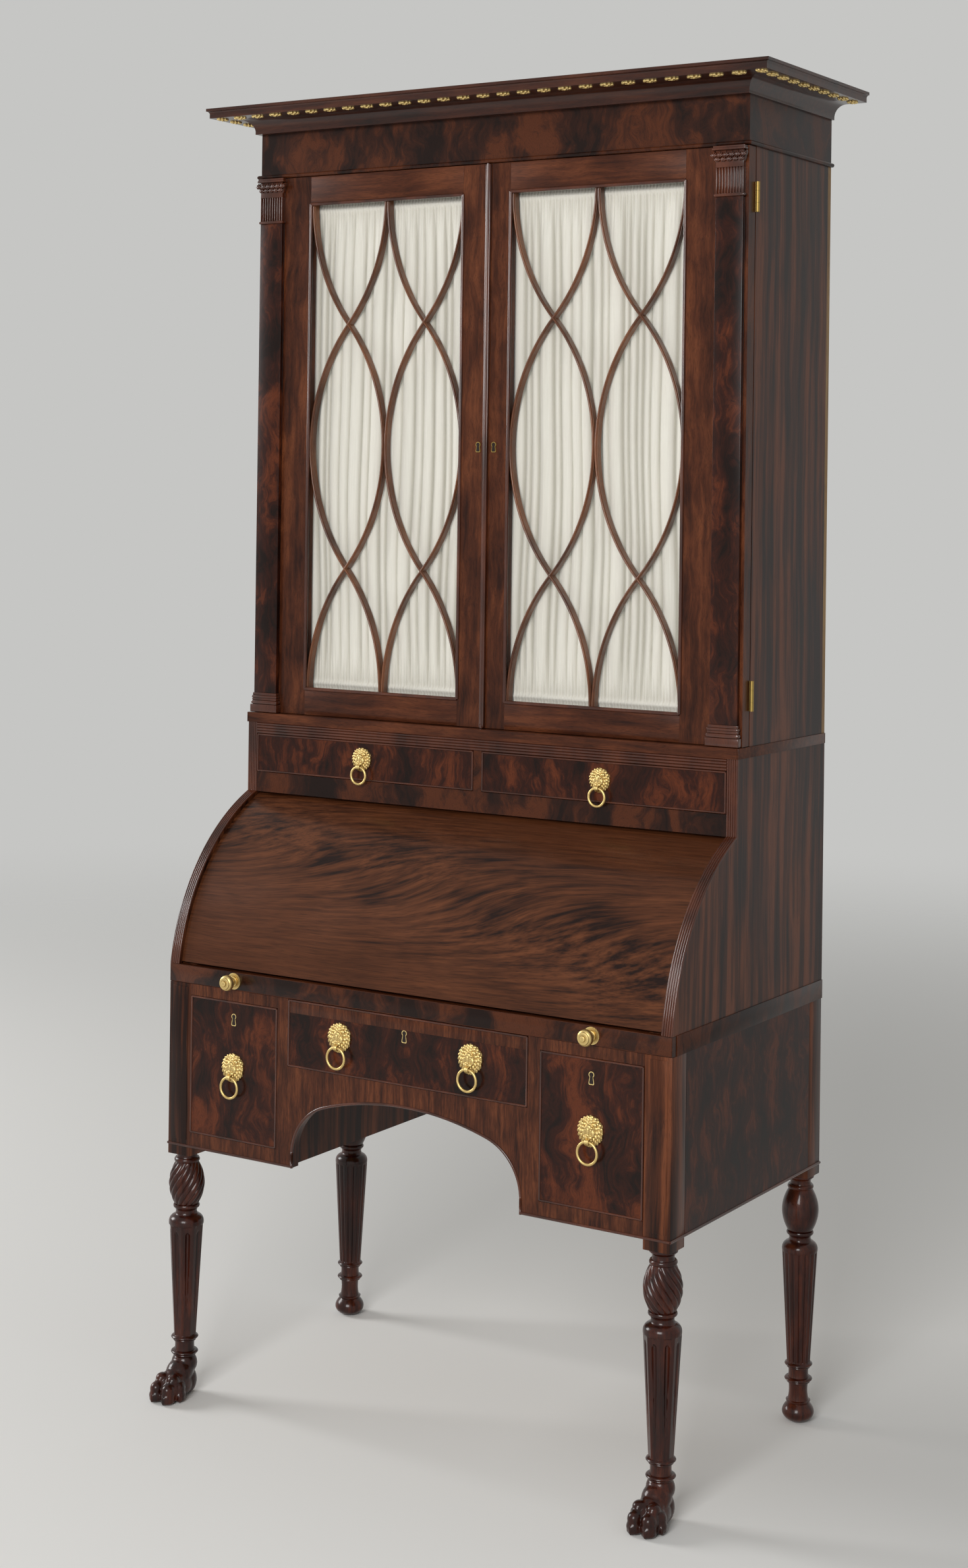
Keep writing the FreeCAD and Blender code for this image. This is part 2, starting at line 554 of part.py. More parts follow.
def frieze_and_cornice():
    front = box(-X_BOOK, X_BOOK, Y_FRIEZE, Y_FRIEZE + FRIEZE_T, Z_FRIEZE, Z_CORNICE)
    side = box(X_BOOK - FRIEZE_T, X_BOOK, Y_FRIEZE + FRIEZE_T, CASE_D, Z_FRIEZE, Z_CORNICE)
    back = box(-X_BOOK + FRIEZE_T, X_BOOK - FRIEZE_T, Y_BACK, CASE_D, Z_FRIEZE, Z_CORNICE)
    flat = ASTRAGAL_OUT - ASTRAGAL_H / 2
    astragal_top = Z_FRIEZE + ASTRAGAL_H
    astragal = moulding(X_BOOK, Y_FRIEZE, (0, Z_FRIEZE),
                        [((flat, Z_FRIEZE),),
                         ((ASTRAGAL_OUT, Z_FRIEZE + ASTRAGAL_H / 2), (flat, astragal_top)),
                         ((0, astragal_top),)])
    save("frieze", [front] + pair(side) + [back, astragal])

    fillet = CORNICE_SIDE_TUCK + CORNICE_OGEE
    z_cove = Z_CORNICE + CORNICE_FILLET_H
    soffit = Z_TOP - CORNICE_FASCIA_H
    cove = soffit - z_cove
    crown = CORNICE_OUT - CORNICE_OGEE
    z_crown = Z_TOP - 2 * CORNICE_OGEE
    diagonal = math.sqrt(0.5)
    moves = [((fillet, Z_CORNICE),), ((fillet, z_cove),),
             ((fillet + cove * (1 - diagonal), z_cove + cove * diagonal), (fillet + cove, soffit)),
             ((crown, soffit),), ((crown, z_crown),),
             ((CORNICE_OUT - CORNICE_OGEE * diagonal, z_crown + CORNICE_OGEE * diagonal),
              (CORNICE_OUT, z_crown + CORNICE_OGEE)),
             ((CORNICE_OUT, Z_TOP),), ((-FRIEZE_T, Z_TOP),), ((-FRIEZE_T, Z_CORNICE),)]
    ring = moulding(X_CORNICE, Y_CORNICE, (0, Z_CORNICE), moves)
    cover_x = X_CORNICE - FRIEZE_T
    cover_top = Z_TOP - CORNICE_BOARD_T
    cover = box(-cover_x, cover_x, Y_CORNICE + FRIEZE_T, CASE_D, cover_top - CORNICE_BOARD_T, cover_top)
    save("cornice", [ring, cover])


# Doors

def door_spans():
    """Outer edge, meeting edge and sight edges of the left and the right door, from left to right."""
    left = (-X_BOOK, DOOR_MEETING_X - RUN, -X_SIGHT, DOOR_MEETING_X - INNER_STILE_W)
    right = (DOOR_MEETING_X, X_BOOK, DOOR_MEETING_X + INNER_STILE_W, X_SIGHT)
    return {"left": left, "right": right}


def door_frame(x0, x1, s0, s1):
    rebate = box(s0 - REBATE, s1 + REBATE, Y_DOOR + REBATE_Y, DOOR_BACK,
                 Z_SIGHT - REBATE, Z_SIGHT_TOP + REBATE)
    stiles = [(x0, s0, Z_DOOR, Z_DOOR_TOP), (s1, x1, Z_DOOR, Z_DOOR_TOP)]
    rails = [(s0, s1, Z_DOOR, Z_SIGHT), (s0, s1, Z_SIGHT_TOP, Z_DOOR_TOP)]
    return [box(a, b, Y_DOOR, DOOR_BACK, low, high).cut(rebate) for a, b, low, high in stiles + rails]


def glazing_bars(s0, s1):
    """In each column two bars swing from side to side and cross a quarter of the height from its ends."""
    quarter = (Z_SIGHT_TOP - Z_SIGHT) / 4
    column = (s1 - s0) / BAR_COLUMNS
    half = BAR_W / 2
    swing = column / 2 - half
    radius = (quarter ** 2 + swing ** 2) / (2 * swing)
    turn = math.asin(quarter / radius)
    y0 = Y_DOOR + BAR_SETBACK
    y1 = Y_DOOR + REBATE_Y
    bands = []
    for c in range(BAR_COLUMNS):
        for side in (-1, 1):
            edge_x = s0 + (c + 0.5) * column + side * swing
            for level, rises in ((0, (1,)), (2, (-1, 1)), (4, (-1,))):
                for rise in rises:
                    z = Z_SIGHT + level * quarter

                    def spot(r, angle):
                        x = edge_x + side * (r * math.cos(angle) - radius)
                        return (x, z + rise * r * math.sin(angle))

                    outer = radius + half
                    inner = radius - half
                    moves = [(spot(outer, turn / 2), spot(outer, turn)), (spot(inner, turn),),
                             (spot(inner, turn / 2), spot(inner, 0))]
                    bands.append(slab_y(spot(outer, 0), moves, y0, y1))
    grille = bands[0].multiFuse(bands[1:]).removeSplitter()
    return grille.Solids


def gathered_curtain(x0, x1, z0, z1, y_front):
    """Cloth hanging in folds, fuller in the middle than at the rods."""
    steps = 2 * CURTAIN_FOLDS
    middle = y_front + CURTAIN_SWELL

    def fold_x(i):
        if i in (0, steps):
            return x0 + (x1 - x0) * i / steps
        return x0 + (x1 - x0) * i / steps + CURTAIN_UNEVEN * math.sin(CURTAIN_STRAY * i)

    def section(z, height):
        front = []
        back = []
        for i in range(steps):
            a = fold_x(i)
            b = fold_x(i + 1)
            bulge = height if i % 2 else -height
            front.append(((a + b) / 2, middle + bulge, b, middle))
            back.append(((a + b) / 2, middle + bulge + CURTAIN_T, a, middle + CURTAIN_T))
        moves = [((m[0], m[1]), (m[2], m[3])) for m in front]
        moves.append(((x1, middle + CURTAIN_T),))
        moves += [((m[0], m[1]), (m[2], m[3])) for m in reversed(back)]
        return outline((x0, middle), moves, lambda x, y: V(x, y, z))

    levels = ((z0, CURTAIN_GATHER), ((z0 + z1) / 2, CURTAIN_SWELL), (z1, CURTAIN_GATHER))
    return Part.makeLoft([section(z, height) for z, height in levels], True, True)


def pilaster(x0, x1):
    """Shaft on a stepped base with a necking bead and a projecting capital."""
    y0 = Y_DOOR - PILASTER_T
    m = MOULDING_OUT
    z_neck = Z_DOOR_TOP - NECK_DROP - NECK_H
    plinth = Z_DOOR + PLINTH_H
    base = Z_DOOR + PILASTER_BASE_H
    step = (plinth + base) / 2
    solid = box(x0, x1, y0, Y_DOOR, Z_DOOR, Z_DOOR_TOP)
    steps = [(m, Z_DOOR, plinth), (m * BASE_STEP_SHARE, plinth, step), (m / 2, step, base),
             (m / 2, z_neck, z_neck + NECK_H), (m, Z_DOOR_TOP - CAPITAL_H, Z_DOOR_TOP)]
    blocks = [box(x0 - out, x1 + out, y0 - out, Y_DOOR, z0, z1) for out, z0, z1 in steps]
    return solid.multiFuse(blocks).removeSplitter()


def hinge(z0):
    """Fixed leaf with its pin and outer knuckles, and the right door's leaf with the middle knuckle."""
    z1 = z0 + HINGE_H
    end = HINGE_H * KNUCKLE_SHARE
    leaf_x = PIN_X - KNUCKLE_R - KNUCKLE_CLEAR - HINGE_LEAF_W

    def knuckle(low, high):
        return Part.makeCylinder(KNUCKLE_R, high - low, V(PIN_X, PIN_Y, low))

    case_leaf = box(leaf_x, PIN_X, Y_BOOK_SIDE - HINGE_LEAF_T, Y_BOOK_SIDE, z0, z1)
    door_leaf = box(leaf_x, PIN_X, DOOR_BACK, DOOR_BACK + HINGE_LEAF_T, z0, z1)
    gap = knuckle(z0 + end - KNUCKLE_CLEAR, z1 - end + KNUCKLE_CLEAR)
    ends = knuckle(z0, z0 + end).fuse(knuckle(z1 - end, z1))
    pin = Part.makeCylinder(PIN_R, HINGE_H, V(PIN_X, PIN_Y, z0))
    fixed = case_leaf.cut(gap).fuse(ends).fuse(pin)
    clear_ends = knuckle(z0, z0 + end + KNUCKLE_CLEAR).fuse(knuckle(z1 - end - KNUCKLE_CLEAR, z1))
    bore = Part.makeCylinder(PIN_R + PIN_CLEAR, HINGE_H, V(PIN_X, PIN_Y, z0))
    moving = door_leaf.cut(clear_ends).fuse(knuckle(z0 + end + KNUCKLE_CLEAR, z1 - end - KNUCKLE_CLEAR))
    return fixed.removeSplitter(), moving.cut(bore).removeSplitter()


def keyhole_plate(x, y, z, width, height):
    """Oval plate on a face that looks to the front."""
    return Part.Face(ellipse_y(width, height, x, y, z)).extrude(V(0, -KEY_T, 0))


def doors():
    hinges = [hinge(Z_DOOR + HINGE_INSET), hinge(Z_DOOR_TOP - HINGE_INSET - HINGE_H)]
    fixed = [leaf[0] for leaf in hinges]
    moving = [leaf[1] for leaf in hinges]
    save("case_hinge_leaves", fixed + [mirrored(leaf) for leaf in fixed])
    for name, (x0, x1, s0, s1) in door_spans().items():
        right = name == "right"
        outer = X_BOOK - PILASTER_EDGE
        span = (outer - PILASTER_W, outer) if right else (-outer, -outer + PILASTER_W)
        key_x = DOOR_KEY_X if right else -DOOR_KEY_X
        pane_y = Y_DOOR + REBATE_Y
        ease = REBATE - PANE_EASE
        pane = box(s0 - ease, s1 + ease, pane_y, pane_y + PANE_T, Z_SIGHT - ease, Z_SIGHT_TOP + ease)
        curtain_y = pane_y + PANE_T + CURTAIN_GAP
        rod_y = curtain_y + CURTAIN_SWELL + CURTAIN_T / 2
        rods = [Part.makeCylinder(ROD_R, s1 - s0 + 2 * REBATE, V(s0 - REBATE, rod_y, z), V(1, 0, 0))
                for z in (Z_SIGHT + ROD_INSET, Z_SIGHT_TOP - ROD_INSET)]
        end = ROD_INSET + ROD_R + ROD_CLEAR
        curtain = gathered_curtain(s0 - ease, s1 + ease, Z_SIGHT + end, Z_SIGHT_TOP - end, curtain_y)
        plate = keyhole_plate(key_x, Y_DOOR, Z_DOOR + DOOR_KEY_Z, DOOR_KEY_W, DOOR_KEY_H)
        leaves = moving if right else [mirrored(leaf) for leaf in moving]
        save(name + "_door_frame", door_frame(x0, x1, s0, s1))
        save(name + "_pilaster", [pilaster(*span)])
        save(name + "_pane", [pane])
        save(name + "_glazing_bars", glazing_bars(s0, s1))
        save(name + "_curtain", [curtain])
        save(name + "_door_brass", rods + leaves + [plate])
    bead_end = DOOR_MEETING_X + MEETING_BEAD_W
    bead = box(DOOR_MEETING_X, bead_end, Y_DOOR - MEETING_BEAD_OUT, Y_DOOR, Z_DOOR, Z_DOOR_TOP)
    save("meeting_bead", [bead])


# Drawers and their pulls

def drawer(name, x0, x1, y0, z0, z1, rear_gap, box_drop):
    """Front and open box for an opening between x0 and x1, z0 and z1."""
    a = x0 + RUN
    b = x1 - RUN
    low = z0 + RUN
    y1 = y0 + FRAME_T
    y2 = Y_BACK - rear_gap
    front = box(a, b, y0, y1 - RUN, low, z1 - RUN)
    floor_z = low + BOX_BOTTOM_LIFT
    high = z1 - box_drop
    sides = [box(x, x + BOX_T, y1 - RUN, y2, low, high) for x in (a, b - BOX_T)]
    rear = box(a + BOX_T, b - BOX_T, y2 - BOX_T, y2, low, high)
    floor = box(a + BOX_T, b - BOX_T, y1 - RUN, y2 - BOX_T, floor_z, floor_z + BOX_BOTTOM_T)
    save(name + "_drawer_front", [front])
    save(name + "_drawer_box", sides + [rear, floor])


def lion_mask(x, y, z, size):
    """Oval boss with an eye below its middle that holds the ring."""
    width, height = size
    eye_z = z - EYE_DROP * height
    shapes = [(1.0, 0), (1.0, MASK_EDGE_T), (MASK_CROWN, MASK_DEPTH)]
    wires = [ellipse_y(width * share, height * share, x, y - out, z) for share, out in shapes]
    boss = Part.makeLoft(wires, True, True)
    eye = Part.makeCylinder(EYE_R, EYE_W, V(x - EYE_W / 2, y - RING_Y, eye_z), V(1, 0, 0))
    root = box(x - EYE_W / 2, x + EYE_W / 2, y - RING_Y, y, eye_z - EYE_R, eye_z + EYE_R)
    bore = Part.makeCylinder(WIRE_R + EYE_CLEAR, EYE_W, V(x - EYE_W / 2, y - RING_Y, eye_z), V(1, 0, 0))
    return boss.fuse(root).fuse(eye).cut(bore).removeSplitter()


def hanging_ring(x, y, z, size, diameter):
    """Ring through the mask's eye, hanging down."""
    radius = diameter / 2 - WIRE_R
    centre = V(x, y - RING_Y, z - EYE_DROP * size[1] - radius)
    return Part.makeTorus(radius, WIRE_R, centre, V(0, 1, 0))


def drawers():
    pull_z = LEG_H + PEDESTAL_PULL_Z
    upper_z = Z_UPPER + UPPER_DRAWER_H / 2 + UPPER_PULL_LIFT
    half = UPPER_DIVIDER_W / 2
    for name, sign in (("left", -1), ("right", 1)):
        pedestal = sorted((sign * X_PEDESTAL, sign * X_POST))
        upper = sorted((sign * half, sign * X_INNER))
        x = sign * X_PEDESTAL_MIDDLE
        upper_x = sign * X_UPPER_PULL
        drawer(name + "_pedestal", *pedestal, 0, Z_PEDESTAL, Z_BED - TOP_RAIL_H, BASE_BOX_GAP,
               PEDESTAL_BOX_DROP)
        plate = keyhole_plate(x, 0, LEG_H + PEDESTAL_KEY_Z, KEY_W, KEY_H)
        save(name + "_pedestal_mask", [lion_mask(x, 0, pull_z, BASE_MASK), plate])
        save(name + "_pedestal_ring", [hanging_ring(x, 0, pull_z, BASE_MASK, BASE_RING_D)])
        drawer(name + "_upper", *upper, UPPER_Y, Z_UPPER, Z_UPPER_RAIL, UPPER_BOX_GAP, UPPER_BOX_DROP)
        save(name + "_upper_mask", [lion_mask(upper_x, UPPER_Y, upper_z, UPPER_MASK)])
        save(name + "_upper_ring", [hanging_ring(upper_x, UPPER_Y, upper_z, UPPER_MASK, UPPER_RING_D)])
    drawer("centre", -X_KNEE, X_KNEE, 0, Z_CENTRE, Z_BED, BASE_BOX_GAP, CENTRE_BOX_DROP)
    centre_z = LEG_H + CENTRE_PULL_Z
    masks = [lion_mask(x, 0, centre_z, BASE_MASK) for x in (-CENTRE_PULL_X, CENTRE_PULL_X)]
    save("centre_masks", masks + [keyhole_plate(0, 0, LEG_H + CENTRE_KEY_Z, KEY_W, KEY_H)])
    save("centre_left_ring", [hanging_ring(-CENTRE_PULL_X, 0, centre_z, BASE_MASK, BASE_RING_D)])
    save("centre_right_ring", [hanging_ring(CENTRE_PULL_X, 0, centre_z, BASE_MASK, BASE_RING_D)])


os.makedirs("parts", exist_ok=True)
legs()
base_carcase()
base_front()
writing_slide()
desk_carcase()
cylinder_fall()
pigeonholes()
bookcase_carcase()
frieze_and_cornice()
doors()
drawers()
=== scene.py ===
import bisect
import math
import random

import bmesh
import bpy
from mathutils import Matrix, Vector


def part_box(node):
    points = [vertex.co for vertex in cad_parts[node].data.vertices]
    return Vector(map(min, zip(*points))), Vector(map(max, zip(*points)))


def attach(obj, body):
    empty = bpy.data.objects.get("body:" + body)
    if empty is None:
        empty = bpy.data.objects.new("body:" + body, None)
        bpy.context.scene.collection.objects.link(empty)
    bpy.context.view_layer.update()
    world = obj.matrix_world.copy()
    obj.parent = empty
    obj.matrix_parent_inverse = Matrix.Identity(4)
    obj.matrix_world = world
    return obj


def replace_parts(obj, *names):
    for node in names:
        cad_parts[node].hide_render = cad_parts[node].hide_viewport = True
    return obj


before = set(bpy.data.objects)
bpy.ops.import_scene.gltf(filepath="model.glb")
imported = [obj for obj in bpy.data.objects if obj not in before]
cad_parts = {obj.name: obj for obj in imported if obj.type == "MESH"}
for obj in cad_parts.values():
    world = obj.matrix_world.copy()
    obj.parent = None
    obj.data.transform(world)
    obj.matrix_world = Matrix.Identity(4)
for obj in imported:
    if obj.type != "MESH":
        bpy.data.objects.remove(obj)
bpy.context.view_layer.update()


# Carcase boards of the base, the desk and the bookcase.
# Sides, walls and rails are sawn mahogany, planed, stained and French polished; the backs, bottoms
# and dustboards that nobody sees are poplar, planed and left bare.

MM = 0.001
MAHOGANY = ("#2a1209", "#492413", "#66371f")
UPRIGHT = ("#1f0d07", "#482413", "#6c3b22")
FLAME = ("#170905", "#311309", "#5a2a14")
POPLAR = ("#7c5d3b", "#9b794e", "#b18f62")
CLOUD_SLIMNESS = 0.4
PORE_W = 0.9
PORE_DEPTH = 0.2
PORE_EDGE = (0.3, 0.5)
PORE_DARKNESS = 0.62
PORE_RELIEF = 0.12
WORN_POLISH = (0.24, 0.4)
WOOD_SHINE = 0.16
COAT_ROUGHNESS = 0.12
FEATHER_SWEEP = 0.74
CALM_SPREAD = 1.25
CALM_TONE = 0.52


def linear(code):
    """An sRGB hex colour as the linear RGBA that a shader takes."""
    shares = [int(code[i:i + 2], 16) / 255 for i in (1, 3, 5)]
    return tuple(c / 12.92 if c <= 0.04045 else ((c + 0.055) / 1.055) ** 2.4 for c in shares) + (1.0,)


def feed(tree, node, inputs):
    """Gives a node its inputs; each is a value or another node's output."""
    for name, value in inputs.items():
        if isinstance(value, bpy.types.NodeSocket):
            tree.links.new(value, node.inputs[name])
        else:
            node.inputs[name].default_value = value


def add(tree, kind, inputs, **settings):
    """One node with its settings and inputs."""
    made = tree.nodes.new(kind)
    for name, value in settings.items():
        setattr(made, name, value)
    feed(tree, made, inputs)
    return made


def blank(name):
    """A new material, its node tree and its shader."""
    made = bpy.data.materials.new(name)
    made.use_nodes = True
    return made, made.node_tree, made.node_tree.nodes["Principled BSDF"]


def polished_wood(name, tones, grain, streak, cloud, swirl, broad=0.5, edge=0.15, polish=0.12, fibre=0.07,
                  feather=None):
    """Wood with fibres along one axis: fine streaks, broad clouds and a swirl that bends them both.

    Sizes are in millimetres, edge is how soft the tones run into each other, and fibre is a streak's width
    over its length. A feather (lean of the surface, height, slope, width) sweeps the streaks across a band.
    Open pores show as short dark dashes, drawn wider than they are; the polish is a thin clear coat.
    """
    made, tree, shader = blank(name)
    place = add(tree, "ShaderNodeTexCoord", {}).outputs["Object"]
    if feather:
        lean, height, slope, width = feather
        flat = add(tree, "ShaderNodeMapping", {"Vector": place, "Rotation": (math.radians(lean), 0, 0)})
        axes = add(tree, "ShaderNodeSeparateXYZ", {0: flat.outputs[0]}).outputs
        line = add(tree, "ShaderNodeMath", {0: axes["X"], 1: slope, 2: axes["Z"]}, operation="MULTIPLY_ADD")
        off = add(tree, "ShaderNodeMapRange", {"Value": line.outputs[0], "From Min": height * MM,
                                               "From Max": (height + width) * MM}, clamp=False)
        sweep = add(tree, "ShaderNodeMath", {0: off.outputs[0]}, operation="TANH").outputs[0]
        up = add(tree, "ShaderNodeMath", {0: sweep, 1: -FEATHER_SWEEP * width * MM, 2: axes["Z"]},
                 operation="MULTIPLY_ADD")
        swept = add(tree, "ShaderNodeCombineXYZ", {"X": axes["X"], "Y": axes["Y"], "Z": up.outputs[0]})
        place = swept.outputs[0]
    swirl_size, swirl_reach = swirl
    sway = add(tree, "ShaderNodeTexNoise", {"Vector": place, "Scale": 1 / (swirl_size * MM), "Detail": 2.0})
    centred = add(tree, "ShaderNodeVectorMath", {0: sway.outputs["Color"], 1: (0.5, 0.5, 0.5)},
                  operation="SUBTRACT")
    bent = add(tree, "ShaderNodeVectorMath",
               {0: centred.outputs[0], 1: (2 * swirl_reach * MM,) * 3, 2: place}, operation="MULTIPLY_ADD")
    thin = [fibre if axis == grain else 1.0 for axis in "XYZ"]
    plume = [CLOUD_SLIMNESS if axis == grain else 1.0 for axis in "XYZ"]
    long = add(tree, "ShaderNodeVectorMath", {0: bent.outputs[0], 1: thin}, operation="MULTIPLY")
    wide = add(tree, "ShaderNodeVectorMath", {0: bent.outputs[0], 1: plume}, operation="MULTIPLY")
    streaks = add(tree, "ShaderNodeTexNoise", {"Vector": long.outputs[0], "Scale": 1 / (streak * MM),
                                               "Detail": 4.0, "Roughness": 0.6})
    clouds = add(tree, "ShaderNodeTexNoise", {"Vector": wide.outputs[0], "Scale": 1 / (cloud * MM),
                                              "Detail": 3.0, "Roughness": 0.5})
    figure = add(tree, "ShaderNodeMix", {0: broad, 2: streaks.outputs["Fac"], 3: clouds.outputs["Fac"]})
    shade = figure.outputs[0]
    if feather:
        square = add(tree, "ShaderNodeMath", {0: sweep, 1: sweep}, operation="MULTIPLY")
        calm = add(tree, "ShaderNodeMapRange", {"Value": square.outputs[0], "From Max": CALM_SPREAD})
        shade = add(tree, "ShaderNodeMix", {0: calm.outputs[0], 2: shade, 3: CALM_TONE}).outputs[0]
    tint = add(tree, "ShaderNodeValToRGB", {"Fac": shade})
    dark, middle, light = tones
    stops = tint.color_ramp.elements
    stops[0].position = 0.5 - edge
    stops[0].color = linear(dark)
    stops[1].position = 0.5 + edge
    stops[1].color = linear(light)
    stops.new(0.5).color = linear(middle)
    pores = add(tree, "ShaderNodeTexNoise", {"Vector": long.outputs[0], "Scale": 1 / (PORE_W * MM),
                                             "Detail": 1.0})
    dash = add(tree, "ShaderNodeMapRange", {"Value": pores.outputs["Fac"], "From Min": PORE_EDGE[0],
                                            "From Max": PORE_EDGE[1], "To Min": PORE_DARKNESS})
    tone = add(tree, "ShaderNodeMix", {0: 1.0, 6: tint.outputs["Color"], 7: dash.outputs[0]},
               data_type="RGBA", blend_type="MULTIPLY")
    worn = add(tree, "ShaderNodeMapRange", {"Value": clouds.outputs["Fac"], "To Min": WORN_POLISH[0],
                                            "To Max": WORN_POLISH[1]})
    rough = add(tree, "ShaderNodeBump", {"Height": pores.outputs["Fac"], "Strength": PORE_RELIEF,
                                         "Distance": PORE_DEPTH * MM})
    feed(tree, shader, {"Base Color": tone.outputs[2], "Roughness": worn.outputs[0],
                        "Normal": rough.outputs[0], "Specular IOR Level": WOOD_SHINE,
                        "Coat Weight": polish, "Coat Roughness": COAT_ROUGHNESS})
    return made


def dress(material, *names):
    """Gives boards of the carcase their finish."""
    for name in names:
        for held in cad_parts[name].material_slots:
            held.material = material


upright_mahogany = polished_wood("mahogany_upright_grain", UPRIGHT, grain="Z", streak=22, cloud=90,
                                 swirl=(260, 12), broad=0.22, edge=0.09, fibre=0.03)
long_mahogany = polished_wood("mahogany_long_grain", MAHOGANY, grain="X", streak=9, cloud=60, swirl=(160, 9))
flame_mahogany = polished_wood("mahogany_flame_veneer", FLAME, grain="Z", streak=7, cloud=46, swirl=(80, 40),
                               broad=0.64, edge=0.12)
bare_poplar = polished_wood("poplar_bare", POPLAR, grain="Z", streak=14, cloud=120, swirl=(260, 10),
                            broad=0.25, fibre=0.03, polish=0.0)
dress(upright_mahogany, "bookcase_sides", "desk_sides", "kneehole_walls")
dress(long_mahogany, "bookcase_floor", "pigeonhole_unit")
dress(flame_mahogany, "base_sides")
dress(bare_poplar, "base_back", "desk_back", "bookcase_back", "pedestal_bottoms",
      "slide_bed_and_knee_ceiling", "upper_drawer_boards", "bookcase_top_and_shelves")


# Legs: each is one square of mahogany, left square as the corner post beside the drawers and turned
# below. The front bulbs are carved with slanting lobes that mirror each other, over fluted eight-sided
# shafts and lion's paws; the rear shafts are reeded down to a ball.

TURNED = ("#180805", "#34130a", "#552513")
POST_W = 48
POST_DROP = 16
LIP_T = 13.5
POST_PANEL = (7, 12, 6)
POST_PANEL_OUT = 0.9
BULB_TOP = 400
BULB_FOOT = 327
BULB_SWELL = 11
LOBES = 14
LOBE_DEPTH = 4.0
LOBE_TWIST = 1.8
LOBE_FADE = 0.4
GROOVE_SHARPNESS = 0.6
SHAFT_TOP = 293
SHAFT_FOOT = 102
FACES = 8
FLUTE_W = 4.4
FLUTE_DEPTH = 4.2
FLUTE_TOP = 10
FLUTE_LENGTH = 150
REEDS = 16
REED_DEPTH = 2.0
LEFT_STRETCH = 1.02
CARVED_STEPS = 160
CARVED_PITCH = 1.5
BALL_FOOT = [(18, 37, -1.6), (21, 36, 0), (19, 32, 0.6), (13, 0, 11.5), (0, 0, 0)]
PAW_NECK = [(17, 56, 0), (0, 56, 0)]
PAW_LUMPS = (((0, 0, 54), (23.5, 22, 22), 0), ((0, -12, 42), (24, 27, 22), 24),
             ((0, -22, 22), (25, 38, 25), 0), ((0, -30, 36), (20, 18, 15), 26),
             ((0, 1, 24), (23, 20.5, 27), 0))
TOES = ((-12.6, -60, 0, 12), (12.6, -60, 0, 12), (-20, -37, -40, 10.5), (20, -37, 40, 10.5))
TOE_LUMPS = ((15, 37, 0.9, 12, 9.5), (1, 23, 0.98, 12.5, 12), (0.5, 12, 1.06, 14, 12), (1, 6, 1.02, 14, 6.2),
             (10, 20, 1.0, 17, 19))
CLAW_OUT = 11.2
CLAW_UP = 9
CLAW_SIZE = (3.6, 4.2, 8)
SOLE = 0.6
PAW_VOXEL = 1.5
PAW_SANDING = 5


def span(node):
    """Lowest and highest corner of a part of the frame, in millimetres."""
    low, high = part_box(node)
    return low / MM, high / MM


def piece(name, mesh, material, body, crease=25):
    """A mesh drawn in millimetres becomes a piece in metres that rides on a body."""
    bmesh.ops.remove_doubles(mesh, verts=mesh.verts, dist=0.005)
    bmesh.ops.recalc_face_normals(mesh, faces=mesh.faces)
    bmesh.ops.scale(mesh, vec=(MM, MM, MM), verts=mesh.verts)
    data = bpy.data.meshes.new(name)
    mesh.to_mesh(data)
    mesh.free()
    data.materials.append(material)
    data.shade_smooth()
    data.set_sharp_from_angle(angle=math.radians(crease))
    made = bpy.data.objects.new(name, data)
    bpy.context.collection.objects.link(made)
    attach(made, body)
    return made


def board(mesh, low, high, soft=0.6):
    """A board between two corners with its edges eased by sandpaper."""
    middle = (Vector(low) + Vector(high)) / 2
    size = Vector([abs(b - a) for a, b in zip(low, high)])
    place = Matrix.Translation(middle) @ Matrix.Diagonal((*size, 1.0))
    made = bmesh.ops.create_cube(mesh, size=1.0, matrix=place)
    edges = list({edge for corner in made["verts"] for edge in corner.link_edges})
    bmesh.ops.bevel(mesh, geom=edges, offset=soft, segments=2, profile=0.5, affect="EDGES", material=-1)


def blob(mesh, place, radii, turn=(0, 0, 0), fine=3):
    """One rounded lump of a carving."""
    spin = Matrix.LocRotScale(Vector(place), None, None)
    for axis, angle in zip("XYZ", turn):
        spin = spin @ Matrix.Rotation(math.radians(angle), 4, axis)
    spin = spin @ Matrix.Diagonal((*radii, 1.0))
    bmesh.ops.create_icosphere(mesh, subdivisions=fine, radius=1.0, matrix=spin)


def one_block(made, voxel):
    """Joins the overlapping lumps of a carving under one skin."""
    whole = made.modifiers.new("one block", "REMESH")
    whole.mode = "VOXEL"
    whole.voxel_size = voxel * MM
    whole.use_smooth_shade = True


def turned(mesh, stations, steps, pitch=3.0):
    """Spins an outline about the upright axis; a station is radius, height and the bulge up to it."""
    path = []
    for (r0, z0, _), (r1, z1, bulge) in zip(stations, stations[1:]):
        run = Vector((r1 - r0, 0, z1 - z0))
        out = Vector((-run.z, 0, run.x)).normalized() * 4 * bulge
        parts = max(1, math.ceil(run.length / pitch))
        for i in range(parts):
            t = i / parts
            path.append(mesh.verts.new(Vector((r0, 0, z0)) + run * t + out * t * (1 - t)))
    last = stations[-1]
    path.append(mesh.verts.new((last[0], 0, last[1])))
    edges = [mesh.edges.new(ends) for ends in zip(path, path[1:])]
    bmesh.ops.spin(mesh, geom=path + edges, cent=(0, 0, 0), axis=(0, 0, 1), dvec=(0, 0, 0),
                   angle=2 * math.pi, steps=steps, use_merge=True, use_duplicate=False)


def carve(mesh, depth_at):
    """Cuts each point towards the axis by a depth that depends on its radius, angle and height."""
    for point in mesh.verts:
        radius = math.hypot(point.co.x, point.co.y)
        if radius > 1:
            share = 1 - depth_at(radius, math.atan2(point.co.y, point.co.x), point.co.z) / radius
            point.co.x *= share
            point.co.y *= share


